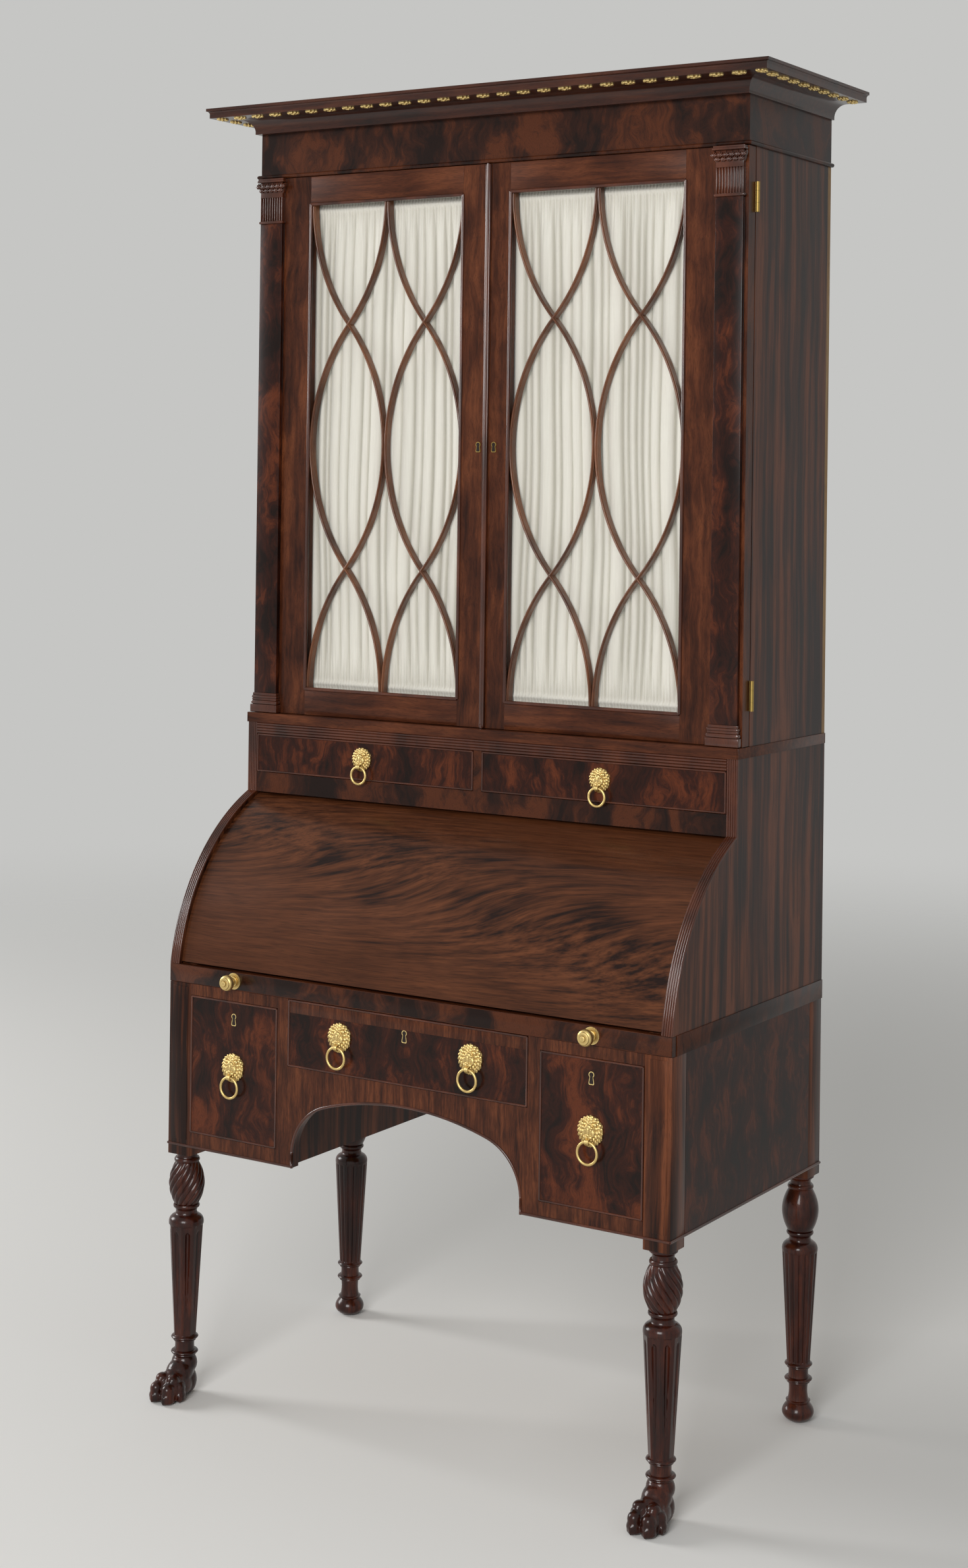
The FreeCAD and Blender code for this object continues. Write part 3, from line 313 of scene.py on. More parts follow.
def front_carving(hand):
    """Slanting lobes on the bulb, then flat faces with a tapering flute each on the shaft."""
    def depth(radius, angle, z):
        if BULB_FOOT < z < BULB_TOP:
            along = (z - BULB_FOOT) / (BULB_TOP - BULB_FOOT)
            phase = angle + hand * LOBE_TWIST * along
            groove = 1 - abs(math.sin(LOBES * phase / 2)) ** GROOVE_SHARPNESS
            return LOBE_DEPTH * groove * math.sin(math.pi * along) ** LOBE_FADE
        if SHAFT_FOOT < z < SHAFT_TOP:
            face = 2 * math.pi / FACES
            off = (angle + face / 2) % face - face / 2
            flat = radius * (1 - math.cos(face / 2) / math.cos(off))
            down = (SHAFT_TOP - FLUTE_TOP - z) / FLUTE_LENGTH
            if not 0 < down < 1:
                return flat
            half = FLUTE_W * (1 - down ** 2) * min(1, math.sqrt(down * FLUTE_LENGTH / FLUTE_W))
            beside = abs(radius * math.sin(off)) / max(half, 0.01)
            return flat + (FLUTE_DEPTH * half / FLUTE_W * math.sqrt(1 - beside ** 2) if beside < 1 else 0)
        return 0
    return depth


def rear_carving(radius, angle, z):
    """Round reeds down the shaft."""
    if SHAFT_FOOT < z < SHAFT_TOP:
        return REED_DEPTH * (1 - abs(math.sin(REEDS * angle / 2)) ** GROOVE_SHARPNESS)
    return 0


def paw(mesh):
    """A lion's foot pointing to the front: wrist, instep, heel, and two toes before two that spread."""
    for place, radii, tilt in PAW_LUMPS:
        blob(mesh, place, radii, (tilt, 0, 0))
    for x, y, spread, wide in TOES:
        out = Vector((math.sin(math.radians(spread)), -math.cos(math.radians(spread))))
        for back, z, share, deep, high in TOE_LUMPS:
            blob(mesh, (x - back * out.x, y - back * out.y, z), (wide * share, deep, high), (0, 0, spread))
        blob(mesh, (x + CLAW_OUT * out.x, y + CLAW_OUT * out.y, CLAW_UP), CLAW_SIZE, (0, 0, spread))
    for point in mesh.verts:
        point.co.z = max(point.co.z, SOLE)


case_foot = span("base_sides")[0].z
write_level = span("base_sides")[1].z
slide_bed = span("base_front_rails")[1].z
case_half = span("base_sides")[1].x
case_front = span("base_front_rails")[0].y
case_back = span("base_back")[1].y
leg_top = case_foot - POST_DROP
leg_outline = [(0, leg_top, 0), (22.5, leg_top, 0), (22.5, 420, 0.5), (18.5, 408, -2.6), (20.5, 408, 0),
               (20.5, BULB_TOP, 2.0), (20.5, BULB_FOOT, BULB_SWELL), (22.5, BULB_FOOT, 0), (22.5, 322, 0.8),
               (18.5, 316, -0.8), (20.5, 310, -0.6), (30.5, SHAFT_TOP, 4.0), (20, SHAFT_FOOT, 0),
               (21.5, 101, 0), (21.5, 95.5, 2.4), (19.8, 95, 0), (19.8, 92.5, 0.5), (17.5, 92, 0),
               (17.8, 76, -0.8), (21.5, 75.5, 0), (21.5, 70, 2.4), (19.8, 69.5, 0), (19.8, 67, 0.5),
               (17, 66.5, 0)]
turned_mahogany = polished_wood("mahogany_turned", TURNED, grain="Z", streak=8, cloud=50, swirl=(140, 7),
                                polish=0.4)
half = POST_W / 2
for rank, leg_y in (("front", case_front + half), ("rear", case_back - half)):
    for side, hand in (("left", -1), ("right", 1)):
        node = rank + "_" + side + "_leg"
        leg_x = hand * (case_half - half)
        x0, x1 = leg_x - half, leg_x + half
        y0, y1 = leg_y - half, leg_y + half
        lip = LIP_T if rank == "front" else 0
        shaft = bmesh.new()
        turned(shaft, leg_outline + (PAW_NECK if rank == "front" else BALL_FOOT), CARVED_STEPS, CARVED_PITCH)
        carve(shaft, front_carving(hand) if rank == "front" else rear_carving)
        if node == "front_left_leg":
            bmesh.ops.scale(shaft, vec=(1, 1, LEFT_STRETCH), verts=shaft.verts)
        bmesh.ops.translate(shaft, vec=(leg_x, leg_y, 0), verts=shaft.verts)
        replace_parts(piece(node + "_turned", shaft, turned_mahogany, "case", 40), node)
        post = bmesh.new()
        board(post, (x0, y0, leg_top), (x1, y1, slide_bed), 1.0)
        board(post, (x0, y0 + lip, slide_bed), (x1, y1, write_level), 0.4)
        if rank == "front":
            edge, rise, fall = POST_PANEL
            board(post, (x0 + edge, y0 - POST_PANEL_OUT, case_foot + rise),
                  (x1 - edge, leg_y, slide_bed - fall), 0.8)
        piece(node + "_post", post, upright_mahogany, "case")
        if rank == "front":
            foot = bmesh.new()
            paw(foot)
            bmesh.ops.translate(foot, vec=(leg_x, leg_y, 0), verts=foot.verts)
            carved = piece(node + "_paw", foot, turned_mahogany, "case", 180)
            one_block(carved, PAW_VOXEL)
            sanded = carved.modifiers.new("sanded", "SMOOTH")
            sanded.factor = 0.5
            sanded.iterations = PAW_SANDING


# Front of the base: rails, stiles and the arched apron are veneered across the grain, and a thin
# half-round bead runs along the foot of the case and round the edge of the arch.

MOULDINGS = ("#34170b", "#482111", "#5a2c17")
BEAD_R = 2.4
BEAD_SUNK = 0.4
ARCH_HALF = 229
ARCH_CORNER_R = 95
ARCH_RISE = 138
ARCH_SPRING = 22
CORNER_STEPS = 16
CROWN_STEPS = 24


def rod(mesh, start, end, radius, sides=12):
    """A round strip, let half into the face that it runs along."""
    run = Vector(end) - Vector(start)
    middle = Matrix.Translation((Vector(start) + Vector(end)) / 2)
    place = middle @ run.to_track_quat("Z", "Y").to_matrix().to_4x4()
    bmesh.ops.create_cone(mesh, cap_ends=True, segments=sides, radius1=radius, radius2=radius,
                          depth=run.length, matrix=place)


def bent_rod(mesh, start, centre, axis, angle, radius, steps, sides=12):
    """A round strip bent along an arc that begins at start."""
    tangent = Vector(axis).cross(Vector(start) - Vector(centre))
    place = Matrix.Translation(start) @ tangent.to_track_quat("Z", "Y").to_matrix().to_4x4()
    made = bmesh.ops.create_circle(mesh, cap_ends=False, segments=sides, radius=radius, matrix=place)
    ring = made["verts"]
    edges = list({edge for corner in ring for edge in corner.link_edges})
    bmesh.ops.spin(mesh, geom=ring + edges, cent=centre, axis=axis, dvec=(0, 0, 0), angle=angle,
                   steps=steps, use_merge=False, use_duplicate=False)


moulding_mahogany = polished_wood("mahogany_mouldings", MOULDINGS, grain="Z", streak=9, cloud=50,
                                  swirl=(120, 6), broad=0.9, polish=0.8)
cross_band = polished_wood("mahogany_cross_banding", MAHOGANY, grain="Z", streak=5, cloud=26, swirl=(60, 5),
                           broad=0.4)
dress(cross_band, "base_front_rails", "arch_apron")

bead = bmesh.new()
bead_y = case_front + BEAD_SUNK
bead_z = case_foot + BEAD_R
corner_x = ARCH_HALF - ARCH_CORNER_R
crown = case_foot + ARCH_RISE
spring = case_foot + ARCH_SPRING
rise = crown - spring
crown_r = (corner_x ** 2 + rise ** 2 - ARCH_CORNER_R ** 2) / (2 * (rise - ARCH_CORNER_R))
tilt = math.atan2(corner_x, spring - crown + crown_r)
for hand in (-1, 1):
    rod(bead, (hand * case_half, bead_y, bead_z), (hand * ARCH_HALF, bead_y, bead_z), BEAD_R)
    rod(bead, (hand * case_half, case_front, bead_z), (hand * case_half, case_back, bead_z), BEAD_R)
    rod(bead, (hand * ARCH_HALF, bead_y, case_foot), (hand * ARCH_HALF, bead_y, spring), BEAD_R)
    bent_rod(bead, (hand * ARCH_HALF, bead_y, spring), (hand * corner_x, bead_y, spring), (0, 1, 0),
             -hand * (math.pi / 2 - tilt), BEAD_R, CORNER_STEPS)
bent_rod(bead, (crown_r * math.sin(tilt), bead_y, crown - crown_r + crown_r * math.cos(tilt)),
         (0, bead_y, crown - crown_r), (0, 1, 0), -2 * tilt, BEAD_R, CROWN_STEPS)
piece("case_foot_bead", bead, moulding_mahogany, "case", 60)


# Base drawers: flame-figured veneer on plain fronts, dovetailed poplar boxes, and a thin cock bead let
# into the edges of each front. The centre drawer has a band of cross-grained veneer along its top.

COCK_R = 1.7
CROSS_BAND_H = 19
CROSS_BAND_OUT = 0.5


def bead_frame(mesh, x0, x1, y, z0, z1, radius):
    """A bead round four sides of an upright opening or front."""
    corners = [(x0, y, z0), (x1, y, z0), (x1, y, z1), (x0, y, z1)]
    for start, end in zip(corners, corners[1:] + corners[:1]):
        rod(mesh, start, end, radius)


def finish_drawer(drawer):
    """Veneer, poplar box and cock bead of one drawer."""
    dress(flame_mahogany, drawer + "_front")
    dress(bare_poplar, drawer + "_box")
    low, high = span(drawer + "_front")
    edge = bmesh.new()
    bead_frame(edge, low.x + COCK_R, high.x - COCK_R, low.y, low.z + COCK_R, high.z - COCK_R, COCK_R)
    piece(drawer + "_cock_bead", edge, moulding_mahogany, drawer, 60)


for drawer in ("left_pedestal_drawer", "right_pedestal_drawer", "centre_drawer"):
    finish_drawer(drawer)
band = bmesh.new()
low, high = span("centre_drawer_front")
band_top = high.z - 2 * COCK_R
board(band, (low.x + 2 * COCK_R, low.y - CROSS_BAND_OUT, band_top - CROSS_BAND_H),
      (high.x - 2 * COCK_R, low.y + 1, band_top), 0.3)
piece("centre_drawer_cross_band", band, cross_band, "centre_drawer")


# Writing slide: a mahogany board with a full-width strip on its front edge and two brass knobs,
# each turned in one piece with its rose.

CROTCH = ("#1b0c07", "#32170c", "#4f2713")
GILT = ("#8f6f36", "#f0d592")
GILT_GLOSS = 0.34
TARNISH_SIZE = 6
TARNISH_DULLNESS = 0.16
RUBBED_RELIEF = (0.42, 0.56)
STRIP_OUT = 0.4
PEDESTAL_X = 357
KNOB_STEPS = 40
KNOB_PITCH = 1.2
KNOB_OUTLINE = [(0, 31.5, 0), (4.2, 31.2, 0.3), (4.8, 29.4, 0), (9.6, 28.8, 0.2), (10.2, 27.2, 0),
                (13, 21, 1.4), (11.4, 15.5, 1.2), (6, 11, -0.8), (6, 6.5, 0.3), (8.5, 5.5, 0), (8.5, 3, 0),
                (14, 2.6, 0), (14, 0, 0.3), (0, 0, 0)]


def metal(name, deep, face, gloss):
    """Cast, chased and lacquered brass: bright where it is rubbed, dark down in the hollows."""
    made, tree, shader = blank(name)
    relief = add(tree, "ShaderNodeNewGeometry", {}).outputs["Pointiness"]
    rubbed = add(tree, "ShaderNodeMapRange", {"Value": relief, "From Min": RUBBED_RELIEF[0],
                                              "From Max": RUBBED_RELIEF[1]})
    tint = add(tree, "ShaderNodeMix", {0: rubbed.outputs[0], 6: linear(deep), 7: linear(face)},
               data_type="RGBA")
    place = add(tree, "ShaderNodeTexCoord", {}).outputs["Object"]
    tarnish = add(tree, "ShaderNodeTexNoise", {"Vector": place, "Scale": 1 / (TARNISH_SIZE * MM),
                                               "Detail": 3.0})
    worn = add(tree, "ShaderNodeMapRange", {"Value": tarnish.outputs["Fac"], "To Min": gloss,
                                            "To Max": gloss + TARNISH_DULLNESS})
    feed(tree, shader, {"Base Color": tint.outputs[2], "Roughness": worn.outputs[0], "Metallic": 1.0})
    return made


gilt_brass = metal("brass_gilt", *GILT, GILT_GLOSS)
crotch_veneer = polished_wood("mahogany_crotch_veneer", CROTCH, grain="Z", streak=8, cloud=70,
                              swirl=(100, 66), broad=0.75, edge=0.085)
dress(long_mahogany, "writing_slide")
low, high = span("writing_slide")
slide_front = low.y
strip = bmesh.new()
board(strip, (low.x + 1, slide_front - STRIP_OUT, low.z + 1), (high.x - 1, slide_front + 1, high.z - 1), 0.3)
piece("slide_strip_veneer", strip, crotch_veneer, "slide")
knob_z = (slide_bed + write_level) / 2
for side, hand in (("left", -1), ("right", 1)):
    knob = bmesh.new()
    turned(knob, KNOB_OUTLINE, KNOB_STEPS, KNOB_PITCH)
    bmesh.ops.rotate(knob, cent=(0, 0, 0), matrix=Matrix.Rotation(math.pi / 2, 3, "X"), verts=knob.verts)
    bmesh.ops.translate(knob, vec=(hand * PEDESTAL_X, slide_front, knob_z), verts=knob.verts)
    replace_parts(piece(side + "_slide_knob", knob, gilt_brass, "slide", 30), "slide_knobs")


# Lion masks: cast and chased in gilt brass, pinned through the drawer fronts. A mane of three rows of
# locks frames the face, and a loop in the mouth carries the ring. Keyholes are edged with brass lines.

HEAD = (0.48, 7.4, 0.48)
HEAD_UP = 0.01
MANE = ((22, 0.395, 2.4, (0.055, 2.0, 0.085)), (19, 0.35, 4.2, (0.052, 2.0, 0.08)),
        (14, 0.275, 5.8, (0.052, 2.0, 0.075)))
MANE_STRETCH = 1.04
LOCK_SLANT = 34
FACE_LUMPS = ((6.0, 0.02, (0.21, 4.8, 0.25)), (9.0, 0.15, (0.12, 2.2, 0.075)),
              (9.8, 0.03, (0.055, 2.4, 0.14)), (11.4, -0.085, (0.07, 1.6, 0.034)),
              (7, -0.385, (0.12, 3.0, 0.055)), (6, -0.29, (0.10, 2.2, 0.08)))
PAIRED_LUMPS = ((0.10, 9.4, 0.125, (0.085, 1.8, 0.034), -16), (0.095, 9.2, 0.062, (0.042, 1.7, 0.03), 0),
                (0.16, 7.2, -0.04, (0.07, 2.6, 0.11), 0), (0.08, 9.4, -0.15, (0.095, 3.0, 0.062), 0),
                (0.23, 7.0, 0.23, (0.066, 2.2, 0.06), 0))
LOOP_DROP = 0.29
LOOP_OUT = 11
LOOP_R = 3.6
LOOP_WIRE_R = 1.3
LOOP_PITCH = 2.4
LOOP_STEPS = 20
LOOP_SIDES = 8
MASK_VOXEL = 0.55
BASE_MASK = (50, 52)
UPPER_MASK = (43, 44)
PEDESTAL_MASK_Z = 593
CENTRE_MASK_X = 131
CENTRE_MASK_Z = 675
UPPER_MASK_X = 244
UPPER_MASK_LIFT = 3
KEYHOLE_SIZE = (10, 21)
KEYHOLE_LINE = 0.13
KEYHOLE_LINE_OUT = 0.3
KEYHOLE_OUT = 0.5
KEYHOLE_DEPTH = 2
KEYHOLE_ARC = range(-50, 231, 10)
KEYHOLE_WAIST = 0.8
KEYHOLE_WAIST_DROP = 0.1
KEYHOLE_FLARE = 2
PEDESTAL_KEYHOLE_Z = 676
CENTRE_KEYHOLE_Z = 694


def lion(mesh, x, y, z, w, h):
    """One head that looks to the front, its back against the drawer at depth y."""
    def lump(across, out, up, radii, slant=0):
        wide, deep, high = radii
        blob(mesh, (x + across * w, y - out, z + up * h), (wide * w, deep, high * h), (0, slant, 0), 2)

    lump(0, 0, HEAD_UP, HEAD)
    for count, reach, out, size in MANE:
        for i in range(count):
            angle = 2 * math.pi * (i + 0.5) / count
            slant = math.degrees(angle) + (LOCK_SLANT if math.sin(angle) > 0 else -LOCK_SLANT)
            lump(reach * math.sin(angle), out, reach * MANE_STRETCH * math.cos(angle), size, slant)
    for out, up, size in FACE_LUMPS:
        lump(0, out, up, size)
    for hand in (-1, 1):
        for across, out, up, size, slant in PAIRED_LUMPS:
            lump(hand * across, out, up, size, hand * slant)
    loop_y = y - LOOP_OUT
    loop_z = z - LOOP_DROP * h
    for across in (x - LOOP_PITCH, x, x + LOOP_PITCH):
        bent_rod(mesh, (across, loop_y + LOOP_R, loop_z), (across, loop_y, loop_z), (1, 0, 0), 2 * math.pi,
                 LOOP_WIRE_R, LOOP_STEPS, LOOP_SIDES)


def keyhole(name, x, y, z, width, height, body, brass):
    """A thin brass line let into the wood round a plug painted as the hole's shade: round above, waisted,
    square below.
    """
    for ending, material, inset, proud in (("_line", brass, 0, KEYHOLE_LINE_OUT),
                                           ("_hole", painted_keyhole_shade, KEYHOLE_LINE * width, KEYHOLE_OUT)):
        half = width / 2 - inset
        waist = half * KEYHOLE_WAIST
        centre = z + height / 2 - width / 2
        foot = z - height / 2 + inset
        turns = [math.radians(angle) for angle in KEYHOLE_ARC]
        outline = [(half * math.cos(turn), centre + half * math.sin(turn)) for turn in turns]
        left = [(-waist, z - KEYHOLE_WAIST_DROP * height), (-half, foot + KEYHOLE_FLARE), (-waist, foot)]
        outline += left + [(-across, up) for across, up in reversed(left)]
        shape = bmesh.new()
        flat = shape.faces.new([shape.verts.new((x + across, y - proud, up)) for across, up in outline])
        deep = bmesh.ops.extrude_face_region(shape, geom=[flat])["geom"]
        back = [corner for corner in deep if isinstance(corner, bmesh.types.BMVert)]
        bmesh.ops.translate(shape, vec=(0, KEYHOLE_DEPTH, 0), verts=back)
        piece(name + ending, shape, material, body)


# Painted shadow: the keyhole's hole is a dark plug coloured as the shade inside it.
painted_keyhole_shade, hole_tree, hole_shader = blank("keyhole_shadow")
feed(hole_tree, hole_shader, {"Base Color": linear("#1c0f0a"), "Roughness": 0.9})

low, high = span("left_upper_drawer_front")
upper_face = low.y
upper_z = (low.z + high.z) / 2 + UPPER_MASK_LIFT
pedestal_site = (case_front, PEDESTAL_MASK_Z, *BASE_MASK)
centre_site = (case_front, CENTRE_MASK_Z, *BASE_MASK)
upper_site = (upper_face, upper_z, *UPPER_MASK)
for node, body, places, site in (
        ("left_pedestal_mask", "left_pedestal_drawer", (-PEDESTAL_X,), pedestal_site),
        ("right_pedestal_mask", "right_pedestal_drawer", (PEDESTAL_X,), pedestal_site),
        ("centre_masks", "centre_drawer", (-CENTRE_MASK_X, CENTRE_MASK_X), centre_site),
        ("left_upper_mask", "left_upper_drawer", (-UPPER_MASK_X,), upper_site),
        ("right_upper_mask", "right_upper_drawer", (UPPER_MASK_X,), upper_site)):
    head = bmesh.new()
    for x in places:
        lion(head, x, *site)
    cast = piece(node + "_lion", head, gilt_brass, body, 180)
    one_block(cast, MASK_VOXEL)
    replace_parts(cast, node)
for name, x, z, body in (("left_pedestal_keyhole", -PEDESTAL_X, PEDESTAL_KEYHOLE_Z, "left_pedestal_drawer"),
                         ("right_pedestal_keyhole", PEDESTAL_X, PEDESTAL_KEYHOLE_Z, "right_pedestal_drawer"),
                         ("centre_keyhole", 0, CENTRE_KEYHOLE_Z, "centre_drawer")):
    keyhole(name, x, case_front, z, *KEYHOLE_SIZE, body, gilt_brass)
dress(gilt_brass, "left_pedestal_ring", "right_pedestal_ring", "centre_left_ring", "centre_right_ring",
      "left_upper_ring", "right_upper_ring")


# Desk: the front edges of the two sides are worked with five reeds that follow the curve down to the
# writing level. The curved fall is veneered with sweeping figure; four reeds run under the bookcase, and
# thin bands are glued along the sides where the desk meets the base and the bookcase.

ROLLED = ("#1d0c07", "#4a2816", "#613720")
FALL_FEATHER = (36.9, 640, 0.2, 105)
SIDE_REEDS = 5
SIDE_REED_PITCH = 4.0
SIDE_REED_R = 2.1
REED_STEPS = 40
REED_SUNK = 0.6
RAIL_REEDS = 4
RAIL_REED_INSET = 20
RAIL_REED_GAP = 0.5
RAIL_FOOT = 1041.9
ARC_Y = 107.84
ARC_Z = 709.38
ARC_R = 363
BAND_OUT = 1.5

rolled_mahogany = polished_wood("mahogany_feather_veneer", ROLLED, grain="X", streak=4.2, cloud=60,
                                swirl=(220, 4), broad=0.3, edge=0.1, fibre=0.024, feather=FALL_FEATHER)
dress(rolled_mahogany, "cylinder_fall")
dress(crotch_veneer, "upper_drawer_rails")
for drawer in ("left_upper_drawer", "right_upper_drawer"):
    finish_drawer(drawer)

desk_high = span("desk_sides")[1]
reeds = bmesh.new()
reed_y = upper_face + REED_SUNK
foot_angle = math.pi - math.asin((write_level - ARC_Z) / ARC_R)
head_angle = math.atan2(RAIL_FOOT - ARC_Z, upper_face - ARC_Y)
reach = ARC_R - REED_SUNK
for hand in (-1, 1):
    for i in range(SIDE_REEDS):
        x = hand * (case_half - SIDE_REED_PITCH / 2 - SIDE_REED_PITCH * i)
        rod(reeds, (x, reed_y, RAIL_FOOT), (x, reed_y, desk_high.z), SIDE_REED_R)
        bent_rod(reeds, (x, ARC_Y + reach * math.cos(head_angle), ARC_Z + reach * math.sin(head_angle)),
                 (x, ARC_Y, ARC_Z), (1, 0, 0), foot_angle - head_angle, SIDE_REED_R, REED_STEPS)
rail_high = span("upper_drawer_rails")[1].z
rail_low = span("left_upper_drawer_front")[1].z + RAIL_REED_GAP
rail_pitch = (rail_high - rail_low) / RAIL_REEDS
rail_half = desk_high.x - RAIL_REED_INSET
for i in range(RAIL_REEDS):
    z = rail_low + rail_pitch * (i + 0.5)
    rod(reeds, (-rail_half, reed_y, z), (rail_half, reed_y, z), rail_pitch / 2)
piece("desk_reeds", reeds, moulding_mahogany, "case", 60)
low, high = span("bookcase_floor")
for name, material, slot, front, foot, head in (
        ("base_side_bands", crotch_veneer, "flame_mahogany", case_front + LIP_T, slide_bed, write_level),
        ("bookcase_side_bands", long_mahogany, "mahogany", low.y, low.z, high.z)):
    bands = bmesh.new()
    for hand in (-1, 1):
        board(bands, (hand * (case_half - 1), front, foot),
              (hand * (case_half + BAND_OUT), case_back, head), 0.4)
    piece(name, bands, material, "case")


# Frieze and cornice: a deep frieze of flame veneer over an astragal, and a moulded cornice. Small cast
# rosettes are pinned under the cornice, along its front and both sides.

CORNICE = ("#1f0d07", "#39190d", "#4e2714")
ROSETTE = (14, 10)
ROSETTE_INSET = 22
ROSETTE_EYE = 0.34
ROSETTE_EYE_H = 3.2
ROSETTE_EYE_DROP = 1.5
FRONT_ROSETTES = 28
SIDE_ROSETTES = 9
PETALS = 8
PETAL_REACH = 0.68
PETAL_SIZE = 0.3
PETAL_H = 2.6
PETAL_DROP = 0.6
SOFFIT_DROP = 17.5

dress(crotch_veneer, "frieze")
cornice_mahogany = polished_wood("mahogany_cornice", CORNICE, grain="X", streak=9, cloud=60, swirl=(160, 9),
                                 polish=0.5)
dress(cornice_mahogany, "cornice")
low, high = span("cornice")
soffit = high.z - SOFFIT_DROP
line_x = high.x - ROSETTE_INSET
line_y = low.y + ROSETTE_INSET
side_run = (high.y - ROSETTE_INSET - line_y) / SIDE_ROSETTES
sites = [(-line_x + 2 * line_x * i / (FRONT_ROSETTES - 1), line_y) for i in range(FRONT_ROSETTES)]
sites += [(hand * line_x, line_y + side_run * (i + 1)) for hand in (-1, 1) for i in range(SIDE_ROSETTES)]
flowers = bmesh.new()
for x, y in sites:
    long_x, long_y = ROSETTE if abs(x) < line_x - 1 else reversed(ROSETTE)
    blob(flowers, (x, y, soffit - ROSETTE_EYE_DROP),
         (long_x * ROSETTE_EYE, long_y * ROSETTE_EYE, ROSETTE_EYE_H), fine=1)
    for i in range(PETALS):
        angle = 2 * math.pi * i / PETALS
        petal_x = x + PETAL_REACH * long_x * math.cos(angle)
        petal_y = y + PETAL_REACH * long_y * math.sin(angle)
        blob(flowers, (petal_x, petal_y, soffit - PETAL_DROP),
             (long_x * PETAL_SIZE, long_y * PETAL_SIZE, PETAL_H), fine=1)
piece("cornice_rosettes", flowers, gilt_brass, "case", 50)


# Doors: mortised frames of straight-grained mahogany. A bead runs round each glazed opening, and the
# hinges, curtain rods and keyhole plates are brass. A bead on the right door covers the joint.

AGED = ("#4f3c1b", "#a68c50")
AGED_GLOSS = 0.42
SIGHT_BEAD_R = 3.2
PANE_LAP = 7.5
RAIL_LOW = 47
RAIL_HIGH = 50.5
RAIL_FACE_OUT = 0.3
DOOR_KEYHOLE = (9.5, 18)
DOOR_KEY_X = 16
DOOR_KEY_Z = 487
PLATE_T = 1.5
MEETING_R = 2.4
MEETING_SUNK = 1.4


def sight_edges(side):
    """The upright edges of a door's glazed opening, inside the rebate that the pane laps into."""
    low, high = span(side + "_pane")
    return low.x + PANE_LAP, high.x - PANE_LAP


stile_mahogany = polished_wood("mahogany_door_stiles", MAHOGANY, grain="Z", streak=9, cloud=44,
                               swirl=(110, 16), broad=0.55, edge=0.14)
aged_brass = metal("brass_aged", *AGED, AGED_GLOSS)
dress(aged_brass, "case_hinge_leaves", "left_door_brass", "right_door_brass")
low, high = span("left_door_frame")
door_front = low.y
door_low = low.z
door_high = high.z
sight_low = door_low + RAIL_LOW
sight_high = door_high - RAIL_HIGH
for side, hand in (("left", -1), ("right", 1)):
    door = side + "_door"
    dress(stile_mahogany, door + "_frame")
    x0, x1 = sight_edges(side)
    rails = bmesh.new()
    for foot, head in ((door_low, sight_low), (sight_high, door_high)):
        board(rails, (x0, door_front - RAIL_FACE_OUT, foot), (x1, door_front + 1, head), 0.2)
    piece(door + "_rail_faces", rails, long_mahogany, door)
    sight = bmesh.new()
    bead_frame(sight, x0, x1, door_front, sight_low, sight_high, SIGHT_BEAD_R)
    piece(door + "_sight_bead", sight, moulding_mahogany, door, 60)
    keyhole(door + "_keyhole", hand * DOOR_KEY_X, door_front - PLATE_T, door_low + DOOR_KEY_Z, *DOOR_KEYHOLE,
            door, aged_brass)
meeting = bmesh.new()
low, high = span("meeting_bead")
board(meeting, low, high, 2.2)
meeting_x = (low.x + high.x) / 2
meeting_y = low.y + MEETING_SUNK
rod(meeting, (meeting_x, meeting_y, low.z), (meeting_x, meeting_y, high.z), MEETING_R)
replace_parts(piece("meeting_bead_moulded", meeting, moulding_mahogany, "right_door", 40),
            "meeting_bead")


# Pilasters: one stands on the outer stile of each door: a veneered shaft on a moulded base, a bead, a
# short fluted neck, and a capital of two rows of small carved leaves under an abacus.

BASE_MOULDINGS = ((0, 14, 5, 0.8), (14, 21.5, 4.6, 3.2), (21.5, 25.5, 2.4, 0.6), (25.5, 30.5, 3.6, 2.2),
                  (30.5, 35, 1.6, 0.6))
MOULDING_OUT = 5
ABACUS_H = 7
ABACUS_LIP = 3
ABACUS_STEP = 1.4
NECK_DROP = 83
NECK_BEAD_H = 5.5
NECK_BEAD_OUT = 2.6
NECK_BAND_H = 8
FILLETS = 10
FILLET_W = 1.9
FLUTE_CUT = 3
LEAF_H = 20
LEAVES = 5
LEAF_OVERHANG = 2
LEAF_ROWS = ((0, 1, 0.2, 0.5), (1, 8, 2.0, 0))
LOBE_FAN = 24
LOBE_REACH = 6.5
LOBE_CURL = 0.4
LOBE_TILT = -18
LOBE_SIZE = (0.13, 1.7, 5.5)
LOBE_SHRINK = 0.7
SIDE_LEAVES = ((5, 0.6), (13, 2.6))
SIDE_LEAF = (2.2, 5, 7)
SIDE_LEAF_LEAN = 14

